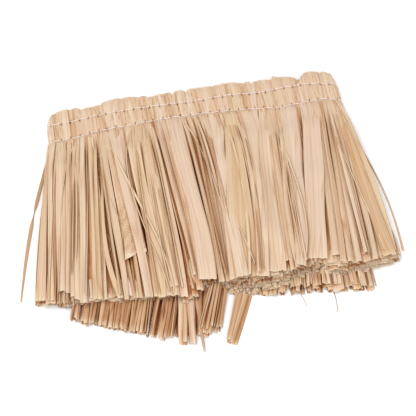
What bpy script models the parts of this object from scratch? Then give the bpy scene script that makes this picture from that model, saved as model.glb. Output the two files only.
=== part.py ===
"""Grass skirt lying flat on its back panel: a gathered waistband closed into a ring,
the front fringe in three layers, the hidden strands as one core, and the back fringe,
whose hem reaches out below the front one.

Frame: metres, +X along the waistband, +Y from the hem to the waist, +Z up, the floor at z = 0.
"""
import math
from typing import NamedTuple

import bmesh
import bpy
import numpy as np

MM = 0.001

# Driving sizes, in millimetres
SEAM = 0.3                 # gap between neighbouring pieces
WAIST_HALF = 202.0         # half the width of the flattened waistband
BAND_THICK = 15.0          # both runs of the waistband together
BACK_WALL = 6.2            # wall of the run that lies on the floor
SLIT = 1.2                 # air between the two runs
BACK_SHIFT = 14.0          # how far the back run lies below the front run
LOW_EDGE_MIDDLE = 144.0    # lower edge of the heading at its middle, in Y
TOP_EDGE_MIDDLE = 188.0    # ruffled edge of the heading at its middle, in Y
EDGE_ARCH = 12.0           # the heading's ends lie this far below its middle
CORNER_DROP = 9.0          # rounding of the heading's upper corners
LOWER_ROW = 3.0            # lower stitch row, above the lower edge
ROW_SPACING = 24.0         # upper stitch row, above the lower one
STITCH_PINCH = 1.6         # how deep the stitches pull the cloth in
GATHER_DEPTH = 1.1         # depth of a gather between the rows
RUFFLE = 2.4               # waves of the ruffled edge
GATHERS = 36               # gathers on each run
RUN_STATIONS = 90          # sections along each run
FOLD_STATIONS = 7          # sections round each end fold
STRIP_WIDTH = 4.0          # strip that the strands of a layer hang from
ROOT_GAP = 0.5             # air between two locks at their roots
CORE_HEM = -88.0           # hem edge of the hidden strands, in Y
FLOOR_GAP = 0.4            # air under the back fringe
LEAST_THICK = 1.0          # no strand is thinner than this
FRONT_SEGMENTS = 5
BACK_SEGMENTS = 3
CORE_ROWS = 12
CORE_COLUMNS = 16
STEEP_LEFT = 4             # partings at the left end where the pile falls to the floor
STEEP_RIGHT = 5            # and at the right end
SEED = 11


class Parting(NamedTuple):
    """One line between two front locks, from the waist to the hem, in millimetres."""
    root: float      # X under the waistband
    hem: float       # X at the hem
    bow: float       # sideways bow halfway down
    height: float    # height of the pile over the floor at the hem
    gap: float       # air between the two locks at the hem


PARTINGS = (
    Parting(root=-194.0, hem=-242.0, bow=-4.0, height=8.0, gap=1.0),
    Parting(root=-191.0, hem=-232.0, bow=-3.0, height=10.0, gap=1.2),
    Parting(root=-188.0, hem=-222.0, bow=-2.0, height=12.0, gap=3.0),
    Parting(root=-184.0, hem=-212.0, bow=0.0, height=13.5, gap=2.5),
    Parting(root=-172.0, hem=-205.0, bow=0.0, height=14.0, gap=0.8),
    Parting(root=-162.0, hem=-197.0, bow=0.0, height=14.5, gap=1.6),
    Parting(root=-156.0, hem=-188.0, bow=0.0, height=15.0, gap=1.6),
    Parting(root=-150.0, hem=-176.0, bow=0.0, height=15.0, gap=3.0),
    Parting(root=-145.0, hem=-164.0, bow=0.0, height=15.5, gap=1.0),
    Parting(root=-141.0, hem=-151.0, bow=-1.0, height=16.0, gap=1.0),
    Parting(root=-137.0, hem=-139.0, bow=-2.0, height=16.0, gap=4.0),
    Parting(root=-124.0, hem=-125.0, bow=0.0, height=16.5, gap=1.0),
    Parting(root=-111.0, hem=-110.0, bow=0.0, height=17.0, gap=2.5),
    Parting(root=-99.0, hem=-97.0, bow=-2.0, height=17.5, gap=3.5),
    Parting(root=-86.0, hem=-88.0, bow=-2.0, height=18.0, gap=0.8),
    Parting(root=-74.0, hem=-79.0, bow=0.0, height=19.0, gap=1.6),
    Parting(root=-67.0, hem=-65.0, bow=0.0, height=20.0, gap=0.8),
    Parting(root=-60.0, hem=-49.0, bow=0.0, height=21.0, gap=9.0),
    Parting(root=-47.0, hem=-37.0, bow=0.0, height=22.5, gap=0.8),
    Parting(root=-33.0, hem=-27.0, bow=0.0, height=24.0, gap=0.8),
    Parting(root=-20.0, hem=-17.0, bow=1.0, height=26.0, gap=3.0),
    Parting(root=-4.0, hem=-4.0, bow=3.0, height=27.0, gap=2.2),
    Parting(root=7.0, hem=6.0, bow=3.0, height=28.0, gap=1.0),
    Parting(root=19.0, hem=14.0, bow=5.0, height=28.5, gap=0.8),
    Parting(root=30.0, hem=21.0, bow=7.0, height=29.0, gap=0.8),
    Parting(root=42.0, hem=29.0, bow=8.0, height=29.5, gap=2.5),
    Parting(root=53.0, hem=41.0, bow=7.0, height=30.0, gap=0.8),
    Parting(root=65.0, hem=53.0, bow=5.0, height=30.5, gap=1.6),
    Parting(root=76.0, hem=65.0, bow=4.0, height=31.0, gap=0.8),
    Parting(root=88.0, hem=77.0, bow=3.0, height=31.5, gap=2.5),
    Parting(root=104.0, hem=86.0, bow=2.0, height=32.0, gap=1.0),
    Parting(root=112.0, hem=94.0, bow=0.0, height=32.0, gap=1.6),
    Parting(root=146.0, hem=122.0, bow=0.0, height=31.5, gap=1.6),
    Parting(root=151.0, hem=133.0, bow=0.0, height=31.0, gap=1.0),
    Parting(root=156.0, hem=143.0, bow=0.0, height=31.0, gap=2.5),
    Parting(root=166.0, hem=154.0, bow=0.0, height=30.0, gap=2.2),
    Parting(root=175.0, hem=166.0, bow=-1.0, height=28.0, gap=1.0),
    Parting(root=183.0, hem=179.0, bow=-1.0, height=25.0, gap=2.5),
    Parting(root=186.5, hem=192.0, bow=2.0, height=21.0, gap=1.0),
    Parting(root=190.0, hem=206.0, bow=6.0, height=15.0, gap=1.0),
    Parting(root=194.0, hem=221.0, bow=9.0, height=8.0, gap=1.0),
)

# The front hem in plan: X and Y of the topmost layer's cut ends
HEM_X = (-262.0, -242.0, -231.0, -204.0, -136.0, -64.0, -34.0, -14.0, 14.0, 60.0, 92.0, 116.0, 142.0,
         200.0, 221.0, 232.0)
HEM_Y = (-88.0, -93.0, -100.0, -105.0, -103.0, -103.0, -102.0, -99.0, -111.0, -113.0, -107.0, -104.0,
         -113.0, -111.0, -106.0, -102.0)


class Stray(NamedTuple):
    """One strand that lies apart from the fringe, with its two edges, in millimetres."""
    root: float
    hem: float
    bow: float
    width_root: float
    width_hem: float
    height: float


LEFT_STRAY = Stray(root=-194.0, hem=-263.0, bow=-2.0, width_root=2.0, width_hem=5.0, height=2.0)
RIGHT_STRAY = Stray(root=192.0, hem=228.0, bow=12.0, width_root=2.0, width_hem=3.5, height=2.0)


class Layer(NamedTuple):
    """One layer of the front fringe: where it lies in the pile, as shares of its height."""
    low: float
    high: float
    locks: int         # locks of an evenly divided layer; 0 takes the partings as they are
    longer: float      # how far it reaches past the topmost layer's hem, in millimetres
    uneven: float      # spread of the cut ends, in millimetres


FRONT_LAYERS = {
    "fringe_front_under": Layer(low=0.46, high=0.60, locks=28, longer=10.0, uneven=2.0),
    "fringe_front_mid": Layer(low=0.65, high=0.78, locks=31, longer=5.0, uneven=2.0),
    "fringe_front_top": Layer(low=0.83, high=1.0, locks=0, longer=0.0, uneven=1.5),
}
CORE_TOP = 0.42
CORE_STEPS = (0.14, 0.28)   # heights of the two lower steps along the core's sides
STEP_ROOTS = (0.0, 3.2, 3.5, 6.6, 6.9)   # where those steps lie, inward from the edge at the waist


class Group(NamedTuple):
    """A run of back locks that lean alike, from its first lock to its last, in millimetres."""
    root_first: float
    root_last: float
    hem_first: float
    hem_last: float
    reach_first: float
    reach_last: float
    locks: int
    point: float      # width left at the tip, as a share


BACK_LOWER_GROUPS = (
    Group(-190.0, -49.0, -203.0, -77.0, -124.0, -173.0, locks=13, point=0.9),
    Group(-47.0, -31.0, -74.0, -58.0, -181.0, -181.0, locks=1, point=0.95),
    Group(-29.0, -20.0, -53.0, -42.0, -191.0, -191.0, locks=1, point=0.3),
    Group(-19.0, 17.0, -41.0, -24.0, -174.0, -171.0, locks=3, point=0.9),
    Group(19.0, 37.0, -21.0, -1.0, -187.0, -191.0, locks=1, point=0.95),
    Group(39.0, 185.0, 24.0, 190.0, -130.0, -145.0, locks=13, point=0.9),
)
BACK_UPPER_GROUPS = (
    Group(-184.0, -53.0, -196.0, -80.0, -120.0, -163.0, locks=12, point=0.9),
    Group(-51.0, -25.0, -78.0, -50.0, -168.0, -172.0, locks=2, point=0.9),
    Group(-23.0, 14.0, -48.0, -27.0, -164.0, -160.0, locks=4, point=0.9),
    Group(44.0, 180.0, 32.0, 185.0, -124.0, -136.0, locks=12, point=0.9),
)
BACK_LOWER = (0.0, 0.20)
BACK_UPPER = (0.23, 0.41)

COLOURS = {
    "waistband": (0.72, 0.54, 0.38),
    "under_layers": (0.52, 0.36, 0.22),
    "fringe_front_under": (0.56, 0.38, 0.23),
    "fringe_front_mid": (0.64, 0.45, 0.29),
    "fringe_front_top": (0.76, 0.58, 0.42),
    "fringe_back_lower": (0.60, 0.42, 0.27),
    "fringe_back_upper": (0.66, 0.48, 0.32),
}
ROUGHNESS = 0.6


class Edge(NamedTuple):
    """One long edge of a lock, in millimetres."""
    root: float
    hem: float
    bow: float
    height: float


def arch(x: float) -> float:
    """Share of the heading's arch at X: 0 at its middle, 1 at its ends."""
    return (x / WAIST_HALF) ** 2


def low_edge(x: float) -> float:
    """Y of the heading's lower edge, on the front run."""
    return LOW_EDGE_MIDDLE - EDGE_ARCH * arch(x)


def top_edge(x: float) -> float:
    """Y of the ruffled edge, with its rounded corners, on the front run."""
    return TOP_EDGE_MIDDLE - EDGE_ARCH * arch(x) - CORNER_DROP * min(abs(x) / WAIST_HALF, 1.0) ** 14


def strip_top(x: float) -> float:
    """Y where the front fringe's strips begin, one seam below the heading."""
    return low_edge(x) - SEAM


def edge_at(root: float) -> Edge:
    """The line down the fringe that starts at this root, read between the partings."""
    roots = [parting.root for parting in PARTINGS]
    return Edge(
        root,
        float(np.interp(root, roots, [parting.hem for parting in PARTINGS])),
        float(np.interp(root, roots, [parting.bow for parting in PARTINGS])),
        float(np.interp(root, roots, [parting.height for parting in PARTINGS])),
    )


def fan_point(edge: Edge, share: float) -> tuple[float, float, float]:
    """X, Y and height of the pile on an edge, at a share of the way from waist to hem."""
    top = strip_top(edge.root)
    hem = float(np.interp(edge.hem, HEM_X, HEM_Y))
    x = edge.root + (edge.hem - edge.root) * share + edge.bow * math.sin(math.pi * min(share, 1.0))
    y = top + (hem - top) * share
    ease = min(share, 1.0)
    height = BAND_THICK + (edge.height - BAND_THICK) * ease * ease * (3.0 - 2.0 * ease)
    return x, y, height


def share_at(edge: Edge, y: float) -> float:
    """The share of the way down an edge at which it reaches Y."""
    top = strip_top(edge.root)
    return (top - y) / (top - float(np.interp(edge.hem, HEM_X, HEM_Y)))


def hem_height(x: float) -> float:
    """Height of the pile at the front hem, at X."""
    return float(np.interp(x, [parting.hem for parting in PARTINGS],
                           [parting.height for parting in PARTINGS]))


def new_object(name: str, work: bmesh.types.BMesh) -> bpy.types.Object:
    """Turn a bmesh in millimetres into an object in metres, with its own material."""
    bmesh.ops.scale(work, vec=(MM, MM, MM), verts=work.verts)
    bmesh.ops.recalc_face_normals(work, faces=work.faces)
    mesh = bpy.data.meshes.new(name)
    work.to_mesh(mesh)
    work.free()
    node = bpy.data.objects.new(name, mesh)
    bpy.context.scene.collection.objects.link(node)
    material = bpy.data.materials.new(name)
    material.use_nodes = True
    shader = material.node_tree.nodes["Principled BSDF"]
    shader.inputs["Base Color"].default_value = (*COLOURS[name], 1.0)
    shader.inputs["Roughness"].default_value = ROUGHNESS
    shader.inputs["Metallic"].default_value = 0.0
    mesh.materials.append(material)
    return node


def bridge(work: bmesh.types.BMesh, first: list, second: list) -> None:
    """Join two closed loops of the same number of points with a row of quads."""
    for index in range(len(first)):
        following = (index + 1) % len(first)
        work.faces.new((first[index], first[following], second[following], second[index]))


def band_station(angle: float, run: float, waves: np.ndarray) -> list[tuple[float, float, float]]:
    """One section of the waistband ring, as a closed loop of points.

    The angle is 90 degrees on the front run, -90 on the back run, and between them on the
    right-hand fold; the left-hand fold has angles past 90. Run is the X where the section's
    straight part lies. Waves holds the gather, the ruffle and the pinch of this section.
    """
    gather, ruffle, pinch = waves
    radius = BAND_THICK / 2.0
    inner_radius = SLIT / 2.0
    inner_z = BACK_WALL + inner_radius
    across, up = math.cos(angle), math.sin(angle)
    back = (1.0 - up) / 2.0
    shift = -BACK_SHIFT * back * back * (3.0 - 2.0 * back)
    lively = 1.0 - back          # the floor side is flat
    x_outer = run + radius * across
    low, top = low_edge(x_outer) + shift, top_edge(x_outer) + shift + RUFFLE * ruffle
    row_low, row_high = low + LOWER_ROW, low + LOWER_ROW + ROW_SPACING
    outer = (
        (low, 0.3 * STITCH_PINCH),
        (row_low, STITCH_PINCH * pinch),
        ((row_low + row_high) / 2.0, GATHER_DEPTH * gather),
        (row_high, STITCH_PINCH * pinch),
        (row_high + 0.55 * (top - row_high), GATHER_DEPTH * gather),
        (top, 0.9 + 0.7 * ruffle),
    )
    points = []
    for y, depth in outer:
        reach = radius - depth * lively
        points.append((run + reach * across, y, radius + reach * up))
    x_inner = run + inner_radius * across
    z_inner = inner_z + inner_radius * up
    points.append((x_inner, top, z_inner))
    points.append((x_inner, low, z_inner))
    return points


def build_waistband() -> bpy.types.Object:
    """The gathered heading, a ring pressed flat: front run, right fold, back run, left fold."""
    rng = np.random.default_rng(SEED)
    straight = WAIST_HALF - BAND_THICK / 2.0
    along = np.linspace(-straight, straight, RUN_STATIONS)
    half = math.pi / 2.0
    turns = np.linspace(half, -half, FOLD_STATIONS + 2)[1:-1]
    stations = [(half, x) for x in along]
    stations += [(angle, straight) for angle in turns]
    stations += [(-half, x) for x in along[::-1]]
    stations += [(math.pi - angle, -straight) for angle in turns[::-1]]
    work = bmesh.new()
    loops = []
    phase = np.cumsum(rng.uniform(0.7, 1.3, len(stations))) * GATHERS / RUN_STATIONS
    for index, (angle, run) in enumerate(stations):
        turn = 2.0 * math.pi * phase[index]
        gather = 0.5 + 0.5 * math.sin(turn)
        ruffle = 0.5 * math.sin(0.31 * turn + 1.0) + 0.5 * math.sin(0.83 * turn)
        pinch = 0.85 + 0.15 * math.sin(turn + 0.6)
        points = band_station(angle, run, np.array((gather, ruffle, pinch)))
        loops.append([work.verts.new(point) for point in points])
    for index, loop in enumerate(loops):
        bridge(work, loop, loops[(index + 1) % len(loops)])
    return new_object("waistband", work)


def core_columns() -> list[tuple[Edge, float]]:
    """Edges across the core, each with the share of the pile's height that it reaches."""
    first, last = PARTINGS[0].root, PARTINGS[-1].root
    levels = (CORE_STEPS[0], CORE_STEPS[0], CORE_STEPS[1], CORE_STEPS[1], CORE_TOP)
    inner = np.linspace(first + 12.0, last - 12.0, CORE_COLUMNS)
    columns = [(edge_at(first + step), level) for step, level in zip(STEP_ROOTS, levels)]
    columns += [(edge_at(float(root)), CORE_TOP) for root in inner]
    columns += [(edge_at(last - step), level)
                for step, level in zip(reversed(STEP_ROOTS), reversed(levels))]
    return columns


def build_core() -> bpy.types.Object:
    """The strands that no view shows, as one rounded solid with a flat underside and stepped sides."""
    work = bmesh.new()
    top, bottom = [], []
    last = PARTINGS[-1].root
    for edge, level in core_columns():
        under_band = edge.root * WAIST_HALF / last
        start = share_at(edge, low_edge(under_band) - BACK_SHIFT - SEAM)
        end = share_at(edge, CORE_HEM)
        rows = [fan_point(edge, float(share)) for share in np.linspace(start, end, CORE_ROWS)]
        top.append([work.verts.new((x, y, level * height)) for x, y, height in rows])
        bottom.append([work.verts.new((x, y, 0.0)) for x, y, _ in rows])
    for side in (top, bottom):
        for left, right in zip(side, side[1:]):
            for row in range(CORE_ROWS - 1):
                work.faces.new((left[row], right[row], right[row + 1], left[row + 1]))
    rim_top = [column[0] for column in top] + top[-1][1:] + [column[-1] for column in top[-2::-1]]
    rim_top += top[0][-2:0:-1]
    rim_low = [column[0] for column in bottom] + bottom[-1][1:]
    rim_low += [column[-1] for column in bottom[-2::-1]] + bottom[0][-2:0:-1]
    bridge(work, rim_top, rim_low)
    return new_object("under_layers", work)


def build_fringe(name: str, locks: list[list[list[tuple[float, float, float]]]]) -> bpy.types.Object:
    """One fringe node: every lock stands apart, and one narrow strip joins their roots.

    Each lock is a list of sections from the strip's far edge to its cut end. A section has four
    points: low left, low right, high right and high left. Its first section is the strip's far
    side and its second the near side, where the lock leaves it.
    """
    work = bmesh.new()
    grown = [[[work.verts.new(point) for point in section] for section in lock] for lock in locks]
    for lock in grown:
        for section, following in zip(lock[1:], lock[2:]):
            bridge(work, section, following)
        work.faces.new(lock[-1])
        far, near = lock[0], lock[1]
        work.faces.new((far[0], far[1], near[1], near[0]))
        work.faces.new((far[3], far[2], near[2], near[3]))
        work.faces.new(far)
    for left, right in zip(grown, grown[1:]):
        far_left, near_left, far_right, near_right = left[0], left[1], right[0], right[1]
        work.faces.new((far_left[1], far_right[0], near_right[0], near_left[1]))
        work.faces.new((far_left[2], far_right[3], near_right[3], near_left[2]))
        work.faces.new((far_left[1], far_right[0], far_right[3], far_left[2]))
        work.faces.new((near_left[1], near_right[0], near_right[3], near_left[2]))
    for lock, side in ((grown[0], (0, 3)), (grown[-1], (1, 2))):
        far, near = lock[0], lock[1]
        work.faces.new((far[side[0]], far[side[1]], near[side[1]], near[side[0]]))
    return new_object(name, work)


def front_lock(left: Edge, right: Edge, layer: Layer, end: float) -> list:
    """Sections of one front lock between two edges, down to a share past the hem."""
    top = strip_top(left.root)
    strip_end = STRIP_WIDTH / (top - float(np.interp(left.hem, HEM_X, HEM_Y)))
    shares = [0.0] + [float(share) for share in np.linspace(strip_end, end, FRONT_SEGMENTS + 1)]
    sections = []
    for share in shares:
        x_left, y_left, height_left = fan_point(left, share)
        x_right, y_right, height_right = fan_point(right, share)
        low_left, low_right = layer.low * height_left, layer.low * height_right
        high_left = max(layer.high * height_left, low_left + LEAST_THICK)
        high_right = max(layer.high * height_right, low_right + LEAST_THICK)
        sections.append([
            (x_left, y_left, low_left),
            (x_right, y_right, low_right),
            (x_right, y_right, high_right),
            (x_left, y_left, high_left),
        ])
    return sections


def inset(left: Edge, right: Edge, gap_left: float, gap_right: float) -> tuple[Edge, Edge]:
    """Bring two partings together by half their gaps, so that the lock stands clear of its neighbours."""
    half = ROOT_GAP / 2.0
    return (
        left._replace(root=left.root + half, hem=left.hem + gap_left / 2.0),
        right._replace(root=right.root - half, hem=right.hem - gap_right / 2.0),
    )


def layer_roots(locks: int, rng: np.random.Generator) -> list[tuple[float, float]]:
    """Roots of a hidden layer's locks: the partings at the steep ends, even steps between them."""
    outline = [parting.root for parting in PARTINGS]
    first, last = outline[STEEP_LEFT], outline[-1 - STEEP_RIGHT]
    even = np.linspace(first, last, locks + 1)
    even[1:-1] += rng.uniform(-1.6, 1.6, locks - 1)
    roots = outline[1:STEEP_LEFT] + [float(root) for root in even] + outline[-STEEP_RIGHT:-1]
    return list(zip(roots, roots[1:]))


def stray_edges(stray: Stray) -> tuple[Edge, Edge]:
    """The two long edges of a strand that lies apart."""
    left = Edge(stray.root, stray.hem, stray.bow, stray.height)
    right = left._replace(root=stray.root + stray.width_root, hem=stray.hem + stray.width_hem)
    return left, right


def build_front(name: str, layer: Layer, seed: int) -> bpy.types.Object:
    """One layer of the front fringe, with its own strip of roots."""
    rng = np.random.default_rng(seed)
    pairs = []
    if layer.locks == 0:
        for left, right in zip(PARTINGS, PARTINGS[1:]):
            edges = edge_at(left.root), edge_at(right.root)
            pairs.append(inset(*edges, left.gap, right.gap))
    else:
        for left, right in layer_roots(layer.locks, rng):
            edges = edge_at(float(left)), edge_at(float(right))
            pairs.append(inset(*edges, 1.2, 1.2))
    if name == "fringe_front_mid":
        pairs = [stray_edges(LEFT_STRAY)] + pairs + [stray_edges(RIGHT_STRAY)]
    locks = []
    for left, right in pairs:
        longer = layer.longer + layer.uneven * float(rng.uniform(-1.0, 1.0))
        length = strip_top(left.root) - float(np.interp(left.hem, HEM_X, HEM_Y))
        locks.append(front_lock(left, right, layer, 1.0 + longer / length))
    return build_fringe(name, locks)


def back_lock(roots: tuple, hems: tuple, reach: float, point: float, levels: tuple) -> list:
    """Sections of one back lock, from the strip at the core's hem edge to its cut end."""
    strip_far = CORE_HEM - SEAM
    strip_near = strip_far - STRIP_WIDTH
    middle = (hems[0] + hems[1]) / 2.0
    hems = tuple(middle + (hem - middle) * point for hem in hems)
    stops = [(strip_far, 0.0)]
    for share in np.linspace(0.0, 1.0, BACK_SEGMENTS + 1):
        stops.append((strip_near + (reach - strip_near) * float(share), float(share)))
    sections = []
    for y, share in stops:
        x_left = roots[0] + (hems[0] - roots[0]) * share
        x_right = roots[1] + (hems[1] - roots[1]) * share
        low_share, high_share = levels
        settle = 1.0 - 0.25 * share
        corners = []
        for x, level in ((x_left, low_share), (x_right, low_share), (x_right, high_share),
                         (x_left, high_share)):
            z = max(FLOOR_GAP, level * settle * hem_height(x))
            corners.append((x, y, z))
        sections.append(corners)
    return sections


def build_back(name: str, groups: tuple[Group, ...], levels: tuple[float, float],
               seed: int) -> bpy.types.Object:
    """One layer of the back fringe's hem, with its strip under the front fringe."""
    rng = np.random.default_rng(seed)
    locks = []
    for group in groups:
        roots = np.linspace(group.root_first, group.root_last, group.locks + 1)
        hems = np.linspace(group.hem_first, group.hem_last, group.locks + 1)
        reaches = np.linspace(group.reach_first, group.reach_last, group.locks)
        for index in range(group.locks):
            pair = (float(roots[index]) + ROOT_GAP, float(roots[index + 1]) - ROOT_GAP)
            ends = (float(hems[index]) + ROOT_GAP, float(hems[index + 1]) - ROOT_GAP)
            reach = float(reaches[index]) + float(rng.uniform(-2.0, 2.0))
            locks.append(back_lock(pair, ends, reach, group.point, levels))
    return build_fringe(name, locks)


def main() -> None:
    """Clear the scene and build every piece of the skirt."""
    for old in list(bpy.data.objects):
        bpy.data.objects.remove(old, do_unlink=True)
    build_waistband()
    build_core()
    for offset, (name, layer) in enumerate(FRONT_LAYERS.items()):
        build_front(name, layer, SEED + 1 + offset)
    build_back("fringe_back_lower", BACK_LOWER_GROUPS, BACK_LOWER, SEED + 5)
    build_back("fringe_back_upper", BACK_UPPER_GROUPS, BACK_UPPER, SEED + 6)


main()
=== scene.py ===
"""Looks of a grass skirt laid flat: a gathered raffia heading with two rows of stitching, and
a fringe of folded raffia strips, the front panel lying over the back panel.

Every length in the tables is in millimetres. The meshes are in metres and in the frame's own
axes: +X along the heading, +Y from the hem to the waist, +Z up.
"""

import logging
import math
from dataclasses import dataclass
from enum import Enum
from typing import NamedTuple

import bpy
import numpy as np
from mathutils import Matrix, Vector


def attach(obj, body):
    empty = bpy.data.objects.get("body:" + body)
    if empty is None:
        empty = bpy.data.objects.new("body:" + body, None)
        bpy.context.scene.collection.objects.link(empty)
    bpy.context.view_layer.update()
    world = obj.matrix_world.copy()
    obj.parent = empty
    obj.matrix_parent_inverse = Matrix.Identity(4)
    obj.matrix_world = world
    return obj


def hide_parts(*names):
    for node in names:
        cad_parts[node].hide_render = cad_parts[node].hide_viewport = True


Array = np.ndarray
MM = 0.001
LOG = logging.getLogger("grass_skirt")

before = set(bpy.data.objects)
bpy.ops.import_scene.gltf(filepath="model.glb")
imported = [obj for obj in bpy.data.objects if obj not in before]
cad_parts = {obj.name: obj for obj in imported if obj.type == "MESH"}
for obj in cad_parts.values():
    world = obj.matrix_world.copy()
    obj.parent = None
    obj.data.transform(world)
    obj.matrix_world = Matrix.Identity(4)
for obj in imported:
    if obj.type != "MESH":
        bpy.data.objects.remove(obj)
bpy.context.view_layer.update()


class Fold(Enum):
    """How a raffia strip is folded across its width."""
    FLAT = "flat"
    RIDGE = "ridge"
    TROUGH = "trough"
    TURNED = "turned"
    CRINKLED = "crinkled"
    ROLLED = "rolled"
    STEPPED = "stepped"
    PLEATED = "pleated"


class Parting(NamedTuple):
    """One line between two bunches of the front fringe.

    Root and hem are its X at the heading and at the hem. Height is the pile's and gap the air
    beside the line, both at the hem.
    """
    root: float
    hem: float
    bow: float
    height: float
    gap: float


class Leaf(NamedTuple):
    """One strip that shows: X at four even shares of its length, three widths, end and finish.

    The last number is how far it lies below its neighbours, as a share of the pile.
    """
    line: tuple[float, float, float, float]
    widths: tuple[float, float, float]
    end: float
    fold: Fold
    depth: float
    tint: float
    tone: float
    sunk: float = 0.0


class Look(NamedTuple):
    """Fold and finish of a strip of no special place."""
    fold: Fold
    depth: float
    tint: float
    tone: float


class Pleats(NamedTuple):
    """A set of pleats round the heading: mean distance, unevenness, slant and depth."""
    spacing: float
    spread: float
    slant: float
    strength: float


class Group(NamedTuple):
    """A run of back strips that lean alike, from the first to the last.

    Roots and hems are X, a reach is Y of a cut end, and half is half the width of a strip, which
    loses the taper's share of it towards its end. The shade is added to its tone.
    """
    root_first: float
    root_last: float
    hem_first: float
    hem_last: float
    reach_first: float
    reach_last: float
    strips: int
    half: float
    taper: float = 0.12
    shade: float = 0.0


# Partings of the front fringe, as in the part's source but for the last one's bow
PARTINGS = (
    Parting(-194.0, -242.0, -4.0, 8.0, 1.0), Parting(-191.0, -232.0, -3.0, 10.0, 1.2),
    Parting(-188.0, -222.0, -2.0, 12.0, 3.0), Parting(-184.0, -212.0, 0.0, 13.5, 2.5),
    Parting(-172.0, -205.0, 0.0, 14.0, 0.8), Parting(-162.0, -197.0, 0.0, 14.5, 1.6),
    Parting(-156.0, -188.0, 0.0, 15.0, 1.6), Parting(-150.0, -176.0, 0.0, 15.0, 3.0),
    Parting(-145.0, -164.0, 0.0, 15.5, 1.0), Parting(-141.0, -151.0, -1.0, 16.0, 1.0),
    Parting(-137.0, -139.0, -2.0, 16.0, 4.0), Parting(-124.0, -125.0, 0.0, 16.5, 1.0),
    Parting(-111.0, -110.0, 0.0, 17.0, 2.5), Parting(-99.0, -97.0, -2.0, 17.5, 3.5),
    Parting(-86.0, -88.0, -2.0, 18.0, 0.8), Parting(-74.0, -79.0, 0.0, 19.0, 1.6),
    Parting(-67.0, -65.0, 0.0, 20.0, 0.8), Parting(-60.0, -49.0, 0.0, 21.0, 9.0),
    Parting(-47.0, -37.0, 0.0, 22.5, 0.8), Parting(-33.0, -27.0, 0.0, 24.0, 0.8),
    Parting(-20.0, -17.0, 1.0, 26.0, 3.0), Parting(-4.0, -4.0, 3.0, 27.0, 2.2),
    Parting(7.0, 6.0, 3.0, 28.0, 1.0), Parting(19.0, 14.0, 5.0, 28.5, 0.8),
    Parting(30.0, 21.0, 7.0, 29.0, 0.8), Parting(42.0, 29.0, 8.0, 29.5, 2.5),
    Parting(53.0, 41.0, 7.0, 30.0, 0.8), Parting(65.0, 53.0, 5.0, 30.5, 1.6),
    Parting(76.0, 65.0, 4.0, 31.0, 0.8), Parting(88.0, 77.0, 3.0, 31.5, 2.5),
    Parting(104.0, 86.0, 2.0, 32.0, 1.0), Parting(112.0, 94.0, 0.0, 32.0, 1.6),
    Parting(146.0, 122.0, 0.0, 31.5, 1.6), Parting(151.0, 133.0, 0.0, 31.0, 1.0),
    Parting(156.0, 143.0, 0.0, 31.0, 2.5), Parting(166.0, 154.0, 0.0, 30.0, 2.2),
    Parting(175.0, 166.0, -1.0, 28.0, 1.0), Parting(183.0, 179.0, -1.0, 25.0, 2.5),
    Parting(186.5, 192.0, 2.0, 21.0, 1.0), Parting(190.0, 206.0, 6.0, 15.0, 1.0),
    Parting(194.0, 221.0, 5.0, 8.0, 1.0),
)

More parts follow.
